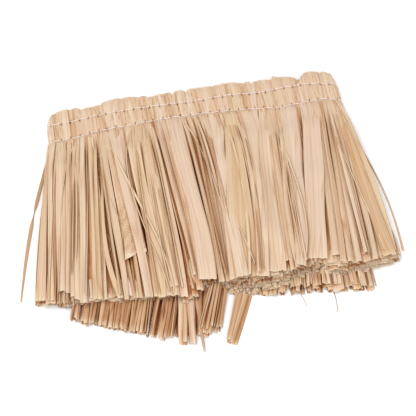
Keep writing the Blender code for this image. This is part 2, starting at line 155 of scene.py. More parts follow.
# The strips that show on the front, the lowest first; the first five lie deep in the widest parting and have
# a lower tone, painted shade
LEAVES = (
    Leaf((-62, -60, -58, -58), (2.7, 5.5, 8.9), 16, Fold.TROUGH, 1.2, 0.60, 0.74, .36),
    Leaf((-60, -56, -51, -51), (2.7, 5.5, 8.9), 16, Fold.STEPPED, 1.2, 0.70, 0.62, .46),
    Leaf((-58, -52, -46, -45), (2.6, 5.4, 8.9), 16, Fold.RIDGE, 1.2, 0.50, 0.66, .42),
    Leaf((-55, -49, -41, -38), (2.6, 5.4, 8.9), 15, Fold.TURNED, 1.2, 0.70, 0.80, .34),
    Leaf((-59, -55, -50, -47), (2.0, 2.3, 3.8), 7, Fold.RIDGE, 1.0, 0.30, 0.86, .26),
    Leaf((-82, -86, -86, -87), (12.2, 16.0, 17.5), 4, Fold.FLAT, 1.0, 0.30, 0.95, .07),
    Leaf((-71, -74, -74, -75), (10.9, 14.7, 16.2), 7, Fold.TURNED, 1.0, 0.50, 0.95, .07),
    Leaf((47, 43, 33, 26), (14.1, 28.1, 24.7), 4, Fold.FLAT, 1.0, 0.05, 1.00, .06),
    Leaf((99, 94, 86, 76), (14.1, 17.7, 17.5), -8, Fold.TURNED, 1.0, 0.50, 0.98, .06),
    Leaf((115, 109, 97, 87), (14.7, 15.7, 14.9), -4, Fold.FLAT, 1.0, 0.60, 0.98, .06),
    Leaf((164, 159, 149, 139), (10.3, 13.5, 14.9), -8, Fold.TURNED, 1.0, 0.60, 0.97, .06),
    Leaf((184, 183, 178, 175), (9.0, 12.1, 13.8), -17, Fold.RIDGE, 1.0, 0.40, 0.98, .06),
    Leaf((-200, -214, -225, -236), (4.6, 8.9, 14.3), -1, Fold.TROUGH, 1.6, 0.35, 1.00),
    Leaf((-196, -207, -215, -222), (7.8, 6.9, 9.0), -1, Fold.TURNED, 1.5, 0.40, 1.02),
    Leaf((-185, -190, -198, -206), (12.0, 18.1, 13.9), -15, Fold.STEPPED, 1.5, 0.55, 1.00),
    Leaf((-173, -182, -191, -200), (5.7, 7.5, 7.1), -11, Fold.RIDGE, 1.5, 0.50, 0.97),
    Leaf((-166, -176, -185, -194), (5.7, 7.7, 8.9), -3, Fold.RIDGE, 1.6, 0.60, 0.95),
    Leaf((-161, -171, -181, -190), (4.2, 6.1, 7.1), 2, Fold.TURNED, 1.3, 0.50, 1.00),
    Leaf((-155, -165, -174, -183), (6.9, 9.5, 11.0), 7, Fold.TURNED, 1.4, 0.55, 1.02),
    Leaf((-145, -152, -159, -167), (6.9, 8.5, 8.9), 3, Fold.RIDGE, 1.6, 0.30, 1.00),
    Leaf((-138, -147, -155, -162), (5.4, 5.6, 6.4), 4, Fold.RIDGE, 1.5, 0.20, 0.96),
    Leaf((-134, -139, -146, -137), (3.0, 4.9, 7.4), 3, Fold.STEPPED, 1.4, 0.20, 0.97),
    Leaf((-128, -131, -129, -130), (6.9, 10.5, 5.7), 4, Fold.FLAT, 1.0, 0.55, 1.00),
    Leaf((-123, -117, -111, -110), (8.1, 21.2, 27.9), -57, Fold.CRINKLED, 1.3, 0.50, 0.98),
    Leaf((-109, -108, -104, -102), (21.3, 13.8, 11.7), 4, Fold.STEPPED, 1.5, 0.70, 1.02),
    Leaf((-88, -89, -85, -86), (18.6, 15.9, 10.0), 7, Fold.FLAT, 1.2, 0.20, 1.02),
    Leaf((-72, -67, -65, -68), (8.0, 8.3, 8.7), 9, Fold.RIDGE, 1.7, 0.40, 1.00),
    Leaf((-63, -59, -57, -59), (7.1, 8.6, 9.9), 11, Fold.STEPPED, 1.6, 0.50, 1.00),
    Leaf((-52, -48, -43, -41), (10.0, 9.3, 6.1), -7, Fold.STEPPED, 1.6, 0.75, 0.94, .16),
    Leaf((-45, -40, -36, -36), (6.6, 8.0, 6.0), 1, Fold.PLEATED, 1.6, 0.60, 0.97, .06),
    Leaf((-30, -29, -25, -27), (20.1, 23.3, 22.3), 8, Fold.TURNED, 1.6, 0.75, 1.01),
    Leaf((-17, -12, -10, -10), (5.6, 6.5, 7.7), 14, Fold.RIDGE, 1.8, 0.50, 0.95),
    Leaf((-10, -3, -1, -2), (5.6, 6.8, 7.7), 11, Fold.PLEATED, 1.7, 0.45, 0.97),
    Leaf((-2, 6, 6, 3), (5.5, 6.9, 7.8), 10, Fold.STEPPED, 1.7, 0.50, 1.00),
    Leaf((5, 12, 11, 8), (5.1, 6.0, 5.4), 9, Fold.RIDGE, 1.8, 0.40, 0.96),
    Leaf((11, 14, 10, 3), (9.1, 7.6, 7.7), 10, Fold.TURNED, 1.7, 0.60, 1.00),
    Leaf((43, 37, 25, 13), (10.6, 26.3, 18.4), 5, Fold.FLAT, 1.2, 0.15, 0.97),
    Leaf((44, 46, 40, 34), (5.1, 10.6, 13.9), 4, Fold.FLAT, 1.6, 0.10, 1.00),
    Leaf((35, 41, 37, 25), (4.2, 5.4, 4.9), 3, Fold.TURNED, 1.6, 0.15, 1.01),
    Leaf((29, 20, 17, 16), (22.0, 15.4, 18.7), 5, Fold.TURNED, 1.7, 0.60, 1.04),
    Leaf((66, 65, 55, 41), (37.2, 19.9, 18.0), 6, Fold.FLAT, 1.8, 0.50, 1.02),
    Leaf((92, 79, 70, 60), (11.1, 17.6, 22.7), 1, Fold.FLAT, 1.8, 0.60, 1.03),
    Leaf((99, 93, 86, 80), (6.7, 8.5, 8.0), 8, Fold.RIDGE, 1.8, 0.55, 0.97),
    Leaf((106, 100, 93, 86), (5.1, 6.1, 7.0), 7, Fold.TROUGH, 1.7, 0.60, 0.94),
    Leaf((112, 103, 90, 86), (7.8, 7.9, 7.4), 8, Fold.TURNED, 1.6, 0.50, 1.00),
    Leaf((171, 162, 154, 144), (6.2, 7.6, 8.0), 2, Fold.STEPPED, 1.7, 0.55, 0.95),
    Leaf((176, 170, 162, 154), (5.7, 8.0, 9.4), 4, Fold.RIDGE, 1.8, 0.60, 0.98),
    Leaf((181, 176, 170, 164), (5.7, 8.3, 9.8), 5, Fold.TURNED, 1.7, 0.55, 1.00),
    Leaf((186, 184, 180, 175), (5.3, 8.1, 9.9), 6, Fold.RIDGE, 1.8, 0.50, 0.97),
    Leaf((190, 191, 190, 186), (4.5, 8.0, 9.5), 4, Fold.TURNED, 1.6, 0.40, 1.00),
    Leaf((193, 197, 199, 197), (4.0, 7.7, 8.9), -1, Fold.STEPPED, 1.5, 0.30, 1.00),
    Leaf((195, 201, 208, 204), (3.4, 7.4, 7.4), -4, Fold.RIDGE, 1.4, 0.20, 1.00),
    Leaf((196, 203, 207, 209), (4.0, 15.1, 17.4), -5, Fold.FLAT, 1.2, 0.05, 1.03),
    Leaf((156, 143, 128, 112), (27.1, 25.8, 26.9), 0, Fold.FLAT, 2.0, 0.75, 1.04),
    Leaf((127, 117, 106, 90), (26.1, 22.1, 13.5), 7, Fold.TURNED, 1.9, 0.60, 1.03),
    Leaf((-123, -105, -81, -71), (2.4, 3.8, 2.3), 7, Fold.RIDGE, 1.2, 0.15, 1.04),
    Leaf((-79, -76, -77, -74), (2.4, 2.6, 2.5), -5, Fold.RIDGE, 1.2, 0.30, 1.04),
    Leaf((43, 53, 54, 43), (2.7, 3.4, 2.4), -3, Fold.RIDGE, 1.3, 0.20, 1.05),
    Leaf((103, 106, 111, 99), (2.8, 2.9, 2.4), -6, Fold.RIDGE, 1.3, 0.35, 1.05),
    Leaf((-19, 1, 9, 15), (1.8, 2.7, 2.1), -8, Fold.RIDGE, 1.2, 0.30, 1.04),
    Leaf((18, 13, 21, 34), (1.9, 2.7, 2.2), -12, Fold.RIDGE, 1.2, 0.30, 1.04),
    Leaf((183, 180, 191, 200), (2.0, 2.6, 2.5), -7, Fold.RIDGE, 1.2, 0.20, 1.04),
    Leaf((-164, -189, -202, -213), (2.2, 2.6, 2.0), -11, Fold.RIDGE, 1.2, 0.30, 1.03),
    Leaf((-87, -103, -91, -76), (1.8, 2.6, 2.2), 1, Fold.RIDGE, 1.2, 0.20, 1.03),
)

# Fine fibres on the front, by X and Y of four points each, and two on the floor
FIBRES = (
    ((-158, 26), (-152, 4), (-142, -21), (-135, -43)), ((-135, -43), (-139, -39), (-143, -45), (-146, -47)),
    ((-146, -62), (-154, -69), (-152, -84), (-151, -99)), ((-97, -47), (-89, -72), (-79, -92), (-73, -103)),
    ((-139, 100), (-134, 92), (-142, 78), (-137, 63)), ((-132, 60), (-130, 30), (-124, 0), (-120, -30)),
    ((20, 60), (30, 20), (36, -30), (44, -80)), ((152, -20), (155, -50), (158, -80), (160, -96)),
)
FLOOR_FIBRES = (((124, -120), (128, -138), (129, -152), (127, -169)),
                ((84, -125), (86, -134), (89, -144), (91, -154)))

# Where a few more narrow strips lie over those of the table, by root
RIDER_ROOTS = ((-190.0, -132.0), (-86.0, -63.0), (-50.0, -42.0), (-16.0, 26.0), (44.0, 60.0), (92.0, 110.0),
               (168.0, 190.0))

# The front hem in plan: X, and Y of the uppermost cut ends
HEM_X = (-262.0, -242.0, -231.0, -204.0, -164.0, -146.0, -116.0, -90.0, -64.0, -47.0, -36.0, -14.0,
         14.0, 60.0, 92.0, 116.0, 142.0, 200.0, 221.0, 232.0)
HEM_Y = (-88.0, -93.0, -100.0, -105.0, -105.0, -109.0, -112.0, -114.0, -114.0, -109.0, -102.0, -99.0,
         -111.0, -113.0, -107.0, -104.0, -113.0, -111.0, -106.0, -102.0)

# How far the lowest strips stand out past the uppermost at the hem, by X at the hem
SHELF_X = (-262.0, -150.0, -62.0, -36.0, 0.0, 40.0, 100.0, 160.0, 195.0, 232.0)
SHELF_OUT = (0.5, 1.0, 2.0, 12.0, 18.0, 17.0, 16.0, 12.0, 4.0, -3.0)

# How far the ruffled edge rises above its smooth line, by X
RUFFLE_X = (-202.0, -193.0, -180.0, -163.0, -155.0, -153.0, -148.0, -132.0, -124.5, -122.0, -112.0,
            -88.0, -62.0, -60.0, -49.0, -29.0, -25.0, -22.0, -17.0, -10.0, -7.0, -3.0, 13.0, 34.0,
            48.0, 66.0, 70.0, 82.0, 84.0, 88.0, 96.0, 113.0, 115.0, 125.0, 144.0, 149.0, 152.0, 155.0,
            161.0, 178.0, 181.0, 187.0, 196.0, 202.0)
RUFFLE_RISE = (0.0, 6.5, 7.0, 6.3, 4.2, 1.2, 0.9, 2.0, 0.4, 4.5, 6.4, 5.1, 2.8, -0.9, 0.6, 1.4, -3.5,
               1.1, 2.8, 1.6, -1.6, 2.0, 1.9, 3.1, 4.4, 2.9, 0.6, 3.3, -1.1, 1.8, 3.2, 2.2, 7.2, 7.0,
               3.5, -0.2, 1.2, 5.4, 10.9, 12.4, 10.4, 12.4, 12.0, 5.0)

# How far the two stitch rows stray from their smooth lines, by X
ROW_LOW_X = (-202.0, -168.0, -131.0, -104.0, -62.0, -20.0, 13.0, 81.0, 119.0, 148.0, 175.0, 202.0)
ROW_LOW_DRIFT = (-1.2, -2.5, 0.2, -0.3, 0.0, 0.0, -0.9, -3.1, -4.6, 0.3, 4.2, 1.0)
ROW_HIGH_X = (-202.0, -165.0, -123.0, -81.0, -35.0, 2.0, 42.0, 93.0, 126.0, 157.0, 202.0)
ROW_HIGH_DRIFT = (2.7, 1.2, 2.3, 1.3, -1.0, -2.2, 0.4, -0.8, 4.2, 7.6, 5.3)

# The back panel's strips below the front hem, in two layers
BACK_LOWER = (
    Group(-191.0, -60.0, -202.0, -88.0, -124.0, -170.0, 40, 3.0),
    Group(-62.0, -38.0, -85.0, -47.0, -165.0, -170.0, 13, 2.8),
    Group(-34.0, -10.0, -50.0, -37.0, -172.0, -174.0, 6, 2.8),
    Group(-12.0, 5.0, -49.0, -21.0, -172.0, -169.0, 8, 2.8, shade=0.06),
    Group(-44.0, -44.0, -50.0, -50.0, -192.0, -192.0, 1, 4.4, 0.5, 0.16),
    Group(25.0, 40.0, -16.0, -10.0, -182.0, -189.0, 3, 6.6, 0.35, 0.2),
    Group(46.0, 140.0, 32.0, 136.0, -130.0, -140.0, 32, 3.4, shade=0.2),
    Group(104.0, 172.0, 102.0, 175.0, -136.0, -147.0, 8, 6.6, shade=0.16),
    Group(149.0, 168.0, 148.0, 167.0, -136.0, -145.0, 3, 5.5, shade=0.2),
    Group(178.0, 184.0, 176.0, 184.0, -143.0, -145.0, 2, 2.6, shade=0.14),
)
BACK_UPPER = (
    Group(-190.0, -58.0, -201.0, -86.0, -124.0, -171.0, 42, 2.2),
    Group(-58.0, -45.0, -75.0, -58.0, -178.0, -181.0, 3, 5.2, 0.0, 0.17),
    Group(-12.0, 7.0, -46.0, -19.0, -166.0, -164.0, 9, 2.0, shade=0.04),
    Group(46.0, 140.0, 36.0, 138.0, -124.0, -134.0, 30, 3.2, shade=0.16),
    Group(148.0, 170.0, 147.0, 170.0, -133.0, -142.0, 4, 3.6, shade=0.16),
)

# The inner strands' height as a share of the pile, by the distance from the fan's side
CORE_INWARD = (0.0, 3.2, 3.6, 6.6, 7.0, 12.0)
CORE_LEVEL = (0.14, 0.14, 0.28, 0.28, 0.40, 0.42)

FINE_PLEATS = Pleats(4.6, 0.8, 2.0, 1.5)
BROAD_PLEATS = Pleats(15.0, 0.7, 3.5, 2.2)
HAIR_PLEATS = Pleats(2.6, 0.7, 1.2, 0.7)

# Distance to an edge that stands for having none
NO_EDGE = 50.0


@dataclass(frozen=True)
class SkirtSizes:
    """Sizes that several pieces share."""
    waist_half: float = 202.0
    band_thick: float = 15.0
    inner_radius: float = 0.6
    back_wall: float = 6.2
    back_shift: float = 14.0
    low_edge: float = 144.0
    top_edge: float = 188.0
    arch: float = 12.0
    corner_drop: float = 9.0
    lower_row: float = 3.0
    row_spacing: float = 24.0
    core_hem: float = -88.0

    def low_line(self, x: Array) -> Array:
        """Y of the heading's lower edge on the front run: a parabola that falls to its ends."""
        return self.low_edge - self.arch * (x / self.waist_half) ** 2

    def top_line(self, x: Array) -> Array:
        """Y of the heading's smooth upper edge on the front run, with its rounded corners."""
        corner = np.minimum(np.abs(x) / self.waist_half, 1.0) ** 14
        return self.top_edge - self.arch * (x / self.waist_half) ** 2 - self.corner_drop * corner


SIZES = SkirtSizes()


def ease(value: Array) -> Array:
    """Smooth step from 0 to 1: three squares less two cubes of the clipped value."""
    clipped = np.clip(value, 0.0, 1.0)
    return clipped * clipped * (3.0 - 2.0 * clipped)


def smooth(values: Array, reach: int) -> Array:
    """Weighted average of each value and its neighbours along the first axis, the ends held.

    Args:
        values: What is averaged.
        reach: How many neighbours on each side count.

    Returns:
        The averages, in the shape of the values.
    """
    padded = np.concatenate([values[:1]] * reach + [values] + [values[-1:]] * reach)
    kernel = np.hanning(2 * reach + 3)[1:-1]
    kernel = kernel / kernel.sum()
    return np.apply_along_axis(lambda line: np.convolve(line, kernel, mode="valid"), 0, padded)


def highest_near(values: Array, reach: int) -> Array:
    """The largest of each value and its neighbours along the first axis.

    Args:
        values: What is compared.
        reach: How many neighbours on each side count.

    Returns:
        The largest values, in the shape of the values.
    """
    result = values.copy()
    for step in range(1, reach + 1):
        result[step:] = np.maximum(result[step:], values[:-step])
        result[:-step] = np.maximum(result[:-step], values[step:])
    return result


class Fan:
    """The front fringe's own grid: a root under the heading and a share of the way to the hem."""

    def __init__(self) -> None:
        """Read the partings into arrays."""
        self.roots, self.hems, self.bows, self.heights, self.gaps = np.array(PARTINGS).T

    def hem_x(self, root: Array) -> Array:
        """X at the hem of the line that leaves the heading at this root."""
        past = np.minimum(root - self.roots[0], 0.0) + np.maximum(root - self.roots[-1], 0.0)
        return np.interp(root, self.roots, self.hems) + 3.2 * past

    def place(self, root: Array, share: Array) -> tuple[Array, Array]:
        """Places on the fan: straight from root to hem, plus a half sine wave of the bow.

        Args:
            root: X at which a line leaves the heading.
            share: Share of its way to the hem.

        Returns:
            X and Y of the places.
        """
        hem = self.hem_x(root)
        bow = np.interp(root, self.roots, self.bows)
        top = SIZES.low_line(root)
        x = root + (hem - root) * share + bow * np.sin(np.pi * np.clip(share, 0.0, 1.0))
        return x, top + (np.interp(hem, HEM_X, HEM_Y) - top) * share

    def length(self, root: Array) -> Array:
        """Length of that line in Y."""
        return SIZES.low_line(root) - np.interp(self.hem_x(root), HEM_X, HEM_Y)

    def pile(self, root: Array, share: Array) -> Array:
        """Height of the pile: from the heading's to the hem's by a smooth step."""
        hem = np.interp(root, self.roots, self.heights)
        return SIZES.band_thick + (hem - SIZES.band_thick) * ease(share)

    def root_at(self, x: Array, share: Array) -> Array:
        """Root of the fan's line that passes each X at its share."""
        return np.array([np.interp(at, self.place(self.roots, np.full_like(self.roots, part))[0], self.roots)
                         for part, at in zip(share, x)])

    def pile_at(self, x: Array) -> Array:
        """Height of the pile at the front hem, at X."""
        return np.interp(x, self.hems, self.heights)


FAN = Fan()


class Heap:
    """Height of everything laid so far, on a square grid, so that each strip rests on the last."""

    def __init__(self, low: tuple[float, float] = (-300.0, -240.0),
                 high: tuple[float, float] = (300.0, 240.0), cell: float = 1.5) -> None:
        """Start with a bare floor.

        Args:
            low: Smallest X and Y.
            high: Largest X and Y.
            cell: Side of a grid square.
        """
        self.low = np.array(low)
        self.cell = cell
        shape = ((np.array(high) - self.low) / cell).astype(int) + 2
        self.grid = np.zeros((int(shape[0]), int(shape[1])))

    def index(self, x: Array, y: Array) -> tuple[Array, Array]:
        """Find the squares of these places.

        Args:
            x: X of the places.
            y: Y of the places.

        Returns:
            Rows and columns of the grid.
        """
        row = np.clip(np.rint((x - self.low[0]) / self.cell).astype(int), 0, self.grid.shape[0] - 1)
        column = np.clip(np.rint((y - self.low[1]) / self.cell).astype(int), 0, self.grid.shape[1] - 1)
        return row, column

    def read(self, x: Array, y: Array) -> Array:
        """Height at these places."""
        return self.grid[self.index(x, y)]

    def lay(self, x: Array, y: Array, z: Array) -> None:
        """Raise the heap to z at these places, where it is lower."""
        np.maximum.at(self.grid, self.index(x, y), z)

    def levelled(self, reach: int) -> "Heap":
        """A copy whose every square has the greatest height near it, and then the mean of those.

        Args:
            reach: How many squares on each side are near.

        Returns:
            The copy.
        """
        high = highest_near(highest_near(self.grid, reach).T, reach).T
        level = Heap(tuple(self.low), tuple(self.low), self.cell)
        level.grid = smooth(smooth(high, reach).T, reach).T
        return level


class Cloth:
    """Points, quads and attributes of one piece, gathered before its mesh is made."""

    def __init__(self, name: str) -> None:
        """Begin an empty piece.

        Args:
            name: Name of the piece.
        """
        self.name = name
        self.points: list[Array] = []
        self.faces: list[Array] = []
        self.grain: list[Array] = []
        self.look: list[Array] = []
        self.edge: list[Array] = []
        self.count = 0

    def add(self, points: Array, faces: Array, grain: Array, look: Array, edge: Array | None = None) -> None:
        """Add one body.

        Args:
            points: Corners, in millimetres.
            faces: Four corner numbers for each face, counted from this body's first.
            grain: Millimetres across and along the body, and a number that differs by body.
            look: Three numbers for each corner, its hue first and its tone last.
            edge: Millimetres to its left and right edge and to its cut end, or none without edges.
        """
        self.points.append(points)
        self.faces.append(faces + self.count)
        self.grain.append(grain)
        self.look.append(look)
        self.edge.append(np.full(points.shape, NO_EDGE) if edge is None else edge)
        self.count += len(points)

    def deepen(self, level: Heap, rate: float, slack: float = 0.8, most: float = 0.4) -> "Cloth":
        """Lower the tone of what lies under its surroundings, where little light comes.

        Args:
            level: Height of the surroundings.
            rate: Tone that each millimetre takes away.
            slack: Millimetres that take nothing away.
            most: The most tone that is taken away.

        Returns:
            The same piece.
        """
        for points, look in zip(self.points, self.look):
            below = level.read(points[:, 0], points[:, 1]) - points[:, 2]
            look[:, 2] -= np.clip(rate * (below - slack), 0.0, most)
        return self

    def finish(self, material: bpy.types.Material, crease: float = 34.0) -> bpy.types.Object:
        """Make the mesh object, with its attributes and a UV map in the same measure as the grain.

        Args:
            material: Finish of the piece.
            crease: Angle in degrees past which an edge is sharp.

        Returns:
            The new object, linked to the scene.
        """
        grain = np.concatenate(self.grain).astype(np.float32)
        look = np.concatenate(self.look).astype(np.float32)
        edge = np.concatenate(self.edge).astype(np.float32)
        mesh = bpy.data.meshes.new(self.name)
        mesh.from_pydata(np.concatenate(self.points) * MM, [], np.concatenate(self.faces))
        for label, values in (("grain", grain), ("look", look), ("edge", edge)):
            layer = mesh.attributes.new(label, "FLOAT_VECTOR", "POINT")
            layer.data.foreach_set("vector", values.ravel())
        corners = np.empty(len(mesh.loops), dtype=np.int32)
        mesh.loops.foreach_get("vertex_index", corners)
        uv = mesh.uv_layers.new(name="UVMap")
        uv.data.foreach_set("uv", (grain[corners, :2] * MM).ravel())
        mesh.materials.append(material)
        mesh.shade_smooth()
        mesh.set_sharp_from_angle(angle=math.radians(crease))
        piece = bpy.data.objects.new(self.name, mesh)
        bpy.context.scene.collection.objects.link(piece)
        LOG.info("%s: %d faces", self.name, len(mesh.polygons))
        return piece


def closed_tube(rings: int, around: int) -> Array:
    """Quads of a tube of rings whose two ends are closed by strips of quads across them.

    Each ring runs along the upper side and back along the lower side, so that its corner k faces
    its corner (around - 1 - k), and the ends are closed between such pairs.

    Args:
        rings: Number of rings.
        around: Corners of a ring.

    Returns:
        Four corner numbers for each face.
    """
    index = np.arange(rings * around).reshape(rings, around)
    following = np.roll(index, -1, axis=1)
    sides = np.stack((index[:-1], index[1:], following[1:], following[:-1]), axis=-1).reshape(-1, 4)
    half = around // 2
    caps = []
    for row in (0, rings - 1):
        upper, lower = index[row, :half], index[row, half:][::-1]
        cap = np.stack((upper[:-1], upper[1:], lower[1:], lower[:-1]), axis=-1)
        caps.append(cap if row == 0 else cap[:, ::-1])
    return np.concatenate([sides] + caps)


@dataclass
class Strip:
    """One raffia strip: its middle line and half width in plan, its fold and its finish.

    Base and ceiling are the least and greatest height of each section. The fold opens over the
    opening's share of the length, and ragged is how uneven the cut end is.
    """
    x: Array
    y: Array
    half: Array
    base: Array
    ceiling: Array
    fold: Fold
    depth: float
    tint: float
    tone: float
    columns: int = 7
    opening: float = 0.16
    ragged: float = 0.5


class StripLayer:
    """Lays strips one on another and gathers their closed bodies into one piece."""

    def __init__(self, name: str, heap: Heap, seed: int, thickness: float = 0.45) -> None:
        """Begin an empty layer.

        Args:
            name: Name of the piece.
            heap: What the strips are laid on.
            seed: Seed of the uneven creases and cuts.
            thickness: Thickness of a strip.
        """
        self.cloth = Cloth(name)
        self.heap = heap
        self.rng = np.random.default_rng(seed)
        self.thickness = thickness
        # Tone taken from a fold's valleys: painted shade
        self.valley_shade = 0.06
        self.end_tone = 1.03
        self.lowest = 0.05
        self.grain_step = 17.3
        self.strips = 0

    def _profile(self, fold: Fold, across: Array) -> Array:
        """Height across a strip in units of its depth, each crease a little off its place.

        Args:
            fold: How the strip is folded.
            across: Places across it, from -1 to 1.

        Returns:
            The height at each place.
        """
        rng = self.rng
        off = 0.3 * rng.uniform(-1.0, 1.0)
        phase = rng.uniform(0.0, 6.0)
        waves = rng.uniform(4.0, 6.5)
        side = rng.choice((-1.0, 1.0))
        if fold is Fold.RIDGE:
            shape = 0.7 - 1.4 * np.abs(across - off)
        elif fold is Fold.TROUGH:
            shape = 1.2 * np.abs(across - off) - 0.4
        elif fold is Fold.TURNED:
            shape = 0.4 - 5.0 * np.maximum(np.abs(across) - 0.75, 0.0) + 0.2 * side * across
        elif fold is Fold.ROLLED:
            shape = 1.8 * np.sqrt(np.clip(1.02 - across ** 2, 0.0, None)) - 0.9
        elif fold is Fold.STEPPED:
            shape = 0.55 * side * np.tanh(7.0 * (across - off)) - 0.3 * np.abs(across)
        elif fold is Fold.PLEATED:
            shape = 0.42 * np.arcsin(np.sin(waves * across + phase))
        else:
            shape = 0.22 * np.sin(2.4 * across + phase) - 0.7 * np.maximum(np.abs(across) - 0.85, 0.0)
        creases = np.interp(across, np.linspace(-1.0, 1.0, 7), rng.normal(0.0, 0.16, 7))
        return shape + creases + rng.normal(0.0, 0.06, len(across))

    def _rest(self, strip: Strip, side_x: Array, side_y: Array) -> tuple[Array, Array]:
        """How a strip lies on the heap.

        The heap gives the height under the left, middle and right of each section, and the
        section leans on the higher ones. Along the strip those heights are spread and averaged,
        as a stiff strip spans its hollows.

        Args:
            strip: The strip.
            side_x: X of each section's direction across the strip.
            side_y: Y of the same.

        Returns:
            Height of each section's middle, and how far its right side lies above it.
        """
        probe = np.array((-0.7, -0.35, 0.0, 0.35, 0.7)) * strip.half[:, None]
        under = self.heap.read(strip.x[:, None] + side_x[:, None] * probe,
                               strip.y[:, None] + side_y[:, None] * probe)
        left, right = under[:, :2].max(axis=1), under[:, 3:].max(axis=1)
        lack = np.maximum(under[:, 2] - (left + right) / 2.0, 0.0)
        rest = smooth(highest_near(np.stack((left + lack, right + lack), axis=1), 1), 3)
        steep = 0.5 * strip.half
        lean = np.clip((rest[:, 1] - rest[:, 0]) / 2.0, -steep, steep)
        middle = np.maximum(rest.mean(axis=1), rest.max(axis=1) - np.abs(lean))
        return np.maximum(middle + self.thickness + 0.15, strip.base), lean

    def add(self, strip: Strip) -> None:
        """Lay one strip and keep its closed body.

        The middle line and the half width give each section's two sides in plan. The section
        lies on the heap, between the base and the ceiling. The fold then lifts each corner by its
        profile times its depth, which opens from almost nothing at the stitches. A crinkled strip
        has slanting ribs on its lower part: the absolute value of a sine along it, plus a slower
        sine.

        Args:
            strip: The strip.
        """
        rng = self.rng
        count = len(strip.x)
        across = np.linspace(-1.0, 1.0, strip.columns)
        across[1:-1] += rng.normal(0.0, 0.05, strip.columns - 2)
        along_x, along_y = np.gradient(strip.x), np.gradient(strip.y)
        length = np.maximum(np.hypot(along_x, along_y), 1e-6)
        side_x, side_y = -along_y / length, along_x / length
        travel = np.concatenate(((0.0,), np.cumsum(np.hypot(np.diff(strip.x), np.diff(strip.y)))))
        share = travel / travel[-1]
        middle, lean = self._rest(strip, side_x, side_y)
        open_share = 0.10 + 0.90 * ease(share / strip.opening)
        swell = 1.0 + 0.25 * np.sin(share * rng.uniform(3.0, 9.0) + rng.uniform(0.0, 6.0))
        depth = np.minimum(strip.depth, 0.9 * strip.half) * open_share * swell
        profile = self._profile(strip.fold, across)
        fade = ease((strip.ceiling - middle) / 3.0 + 1.0)
        middle = np.minimum(middle - profile.min() * depth, strip.ceiling + 1.5 * fade)
        height = middle[:, None] + (lean * fade)[:, None] * across + depth[:, None] * profile
        pull = 1.0 - 0.22 * np.minimum(depth / np.maximum(strip.half, 0.5), 1.0)
        sway = 1.0 + 0.06 * np.sin(share * rng.uniform(4.0, 12.0) + rng.uniform(0.0, 6.0))
        reach = (strip.half * pull * sway)[:, None] * across
        top = np.stack((strip.x[:, None] + side_x[:, None] * reach,
                        strip.y[:, None] + side_y[:, None] * reach, height), axis=-1)
        if strip.fold is Fold.CRINKLED:
            patch = ease((share - 0.58) / 0.08)
            slant = travel[:, None] + 1.1 * reach + 2.2 * np.sin(travel[:, None] / 7.0 + 2.4 * across)
            ribs = np.abs(np.sin(slant / 1.15)) - 0.6 + 0.5 * np.sin(slant / 2.9 + 1.0)
            top[..., 2] += 0.7 * patch[:, None] * ribs
        curl = ease((share - 0.97) / 0.03)[:, None]
        top[..., 2] += curl * (rng.uniform(-1.0, 0.6) + 0.5 * np.sin(4.0 * across + rng.uniform(0.0, 6.0)))
        cut = rng.normal(0.0, strip.ragged, strip.columns) + strip.ragged * rng.uniform(-1.5, 1.5) * across
        if strip.fold is Fold.CRINKLED:
            cut = cut - 6.0 * across
        top[-1, :, 0] += cut * along_x[-1] / length[-1]
        top[-1, :, 1] += cut * along_y[-1] / length[-1]
        self._spread(top)
        # Painted shade: the tone falls towards the fold's valleys
        valley = (profile.max() - profile) / max(float(np.ptp(profile)), 0.1)
        tone = strip.tone - self.valley_shade * valley * open_share[:, None]
        # Painted shade in the troughs of the crinkled ribs
        if strip.fold is Fold.CRINKLED:
            tone = tone - 0.14 * patch[:, None] * np.clip(0.3 - ribs, 0.0, 1.0)
        tone = tone + (self.end_tone - tone) * ease((travel - travel[-1] + 9.0) / 9.0)[:, None]
        self._close(top, travel, across, strip, tone)

    def _spread(self, top: Array) -> None:
        """Raise the heap under a strip, read at places closer than the heap's squares.

        Args:
            top: Points of the strip's upper side, by section and place across.
        """
        span = float(np.hypot(*(top[-1, 0, :2] - top[0, 0, :2])))
        widest = float(np.hypot(*(top[:, -1, :2] - top[:, 0, :2]).T).max())
        dense = top
        for axis, size in ((0, span), (1, widest)):
            steps = max(int(1.3 * size / self.heap.cell) + 2, 3)
            at = np.linspace(0.0, dense.shape[axis] - 1.001, steps)
            cell = at.astype(int)
            part = (at - cell).reshape((-1, 1, 1) if axis == 0 else (1, -1, 1))
            low, high = np.take(dense, cell, axis=axis), np.take(dense, cell + 1, axis=axis)
            dense = low * (1.0 - part) + high * part
        self.heap.lay(dense[..., 0], dense[..., 1], dense[..., 2])

    def _close(self, top: Array, travel: Array, across: Array, strip: Strip, tone: Array) -> None:
        """Join a strip's upper and lower side into one closed body, with its grain and its look.

        Args:
            top: Points of the upper side, by section and place across.
            travel: Length of the strip at each section.
            across: Places across it, from -1 to 1.
            strip: The strip.
            tone: Brightness at each point.
        """
        count, width = top.shape[:2]
        bottom = top.copy()
        bottom[..., 2] = np.maximum(top[..., 2] - self.thickness, self.lowest)
        top[..., 2] = np.maximum(top[..., 2], self.lowest + self.thickness)
        ring = np.concatenate((top, bottom[:, ::-1]), axis=1)
        around = 2 * width
        column = np.concatenate((across, across[::-1]))
        grain = np.empty((count, around, 3))
        grain[..., 0] = strip.half[:, None] * column
        grain[..., 1] = travel[:, None]
        grain[..., 2] = self.grain_step * self.strips
        look = np.zeros((count, around, 3))
        look[..., 0] = strip.tint
        look[..., 2] = np.concatenate((tone, tone[:, ::-1]), axis=1)
        edge = np.empty((count, around, 3))
        edge[..., 0] = strip.half[:, None] * (1.0 + column)
        edge[..., 1] = strip.half[:, None] * (1.0 - column)
        edge[..., 2] = (travel[-1] - travel)[:, None]
        self.cloth.add(ring.reshape(-1, 3), closed_tube(count, around), grain.reshape(-1, 3),
                       look.reshape(-1, 3), edge.reshape(-1, 3))
        self.strips += 1


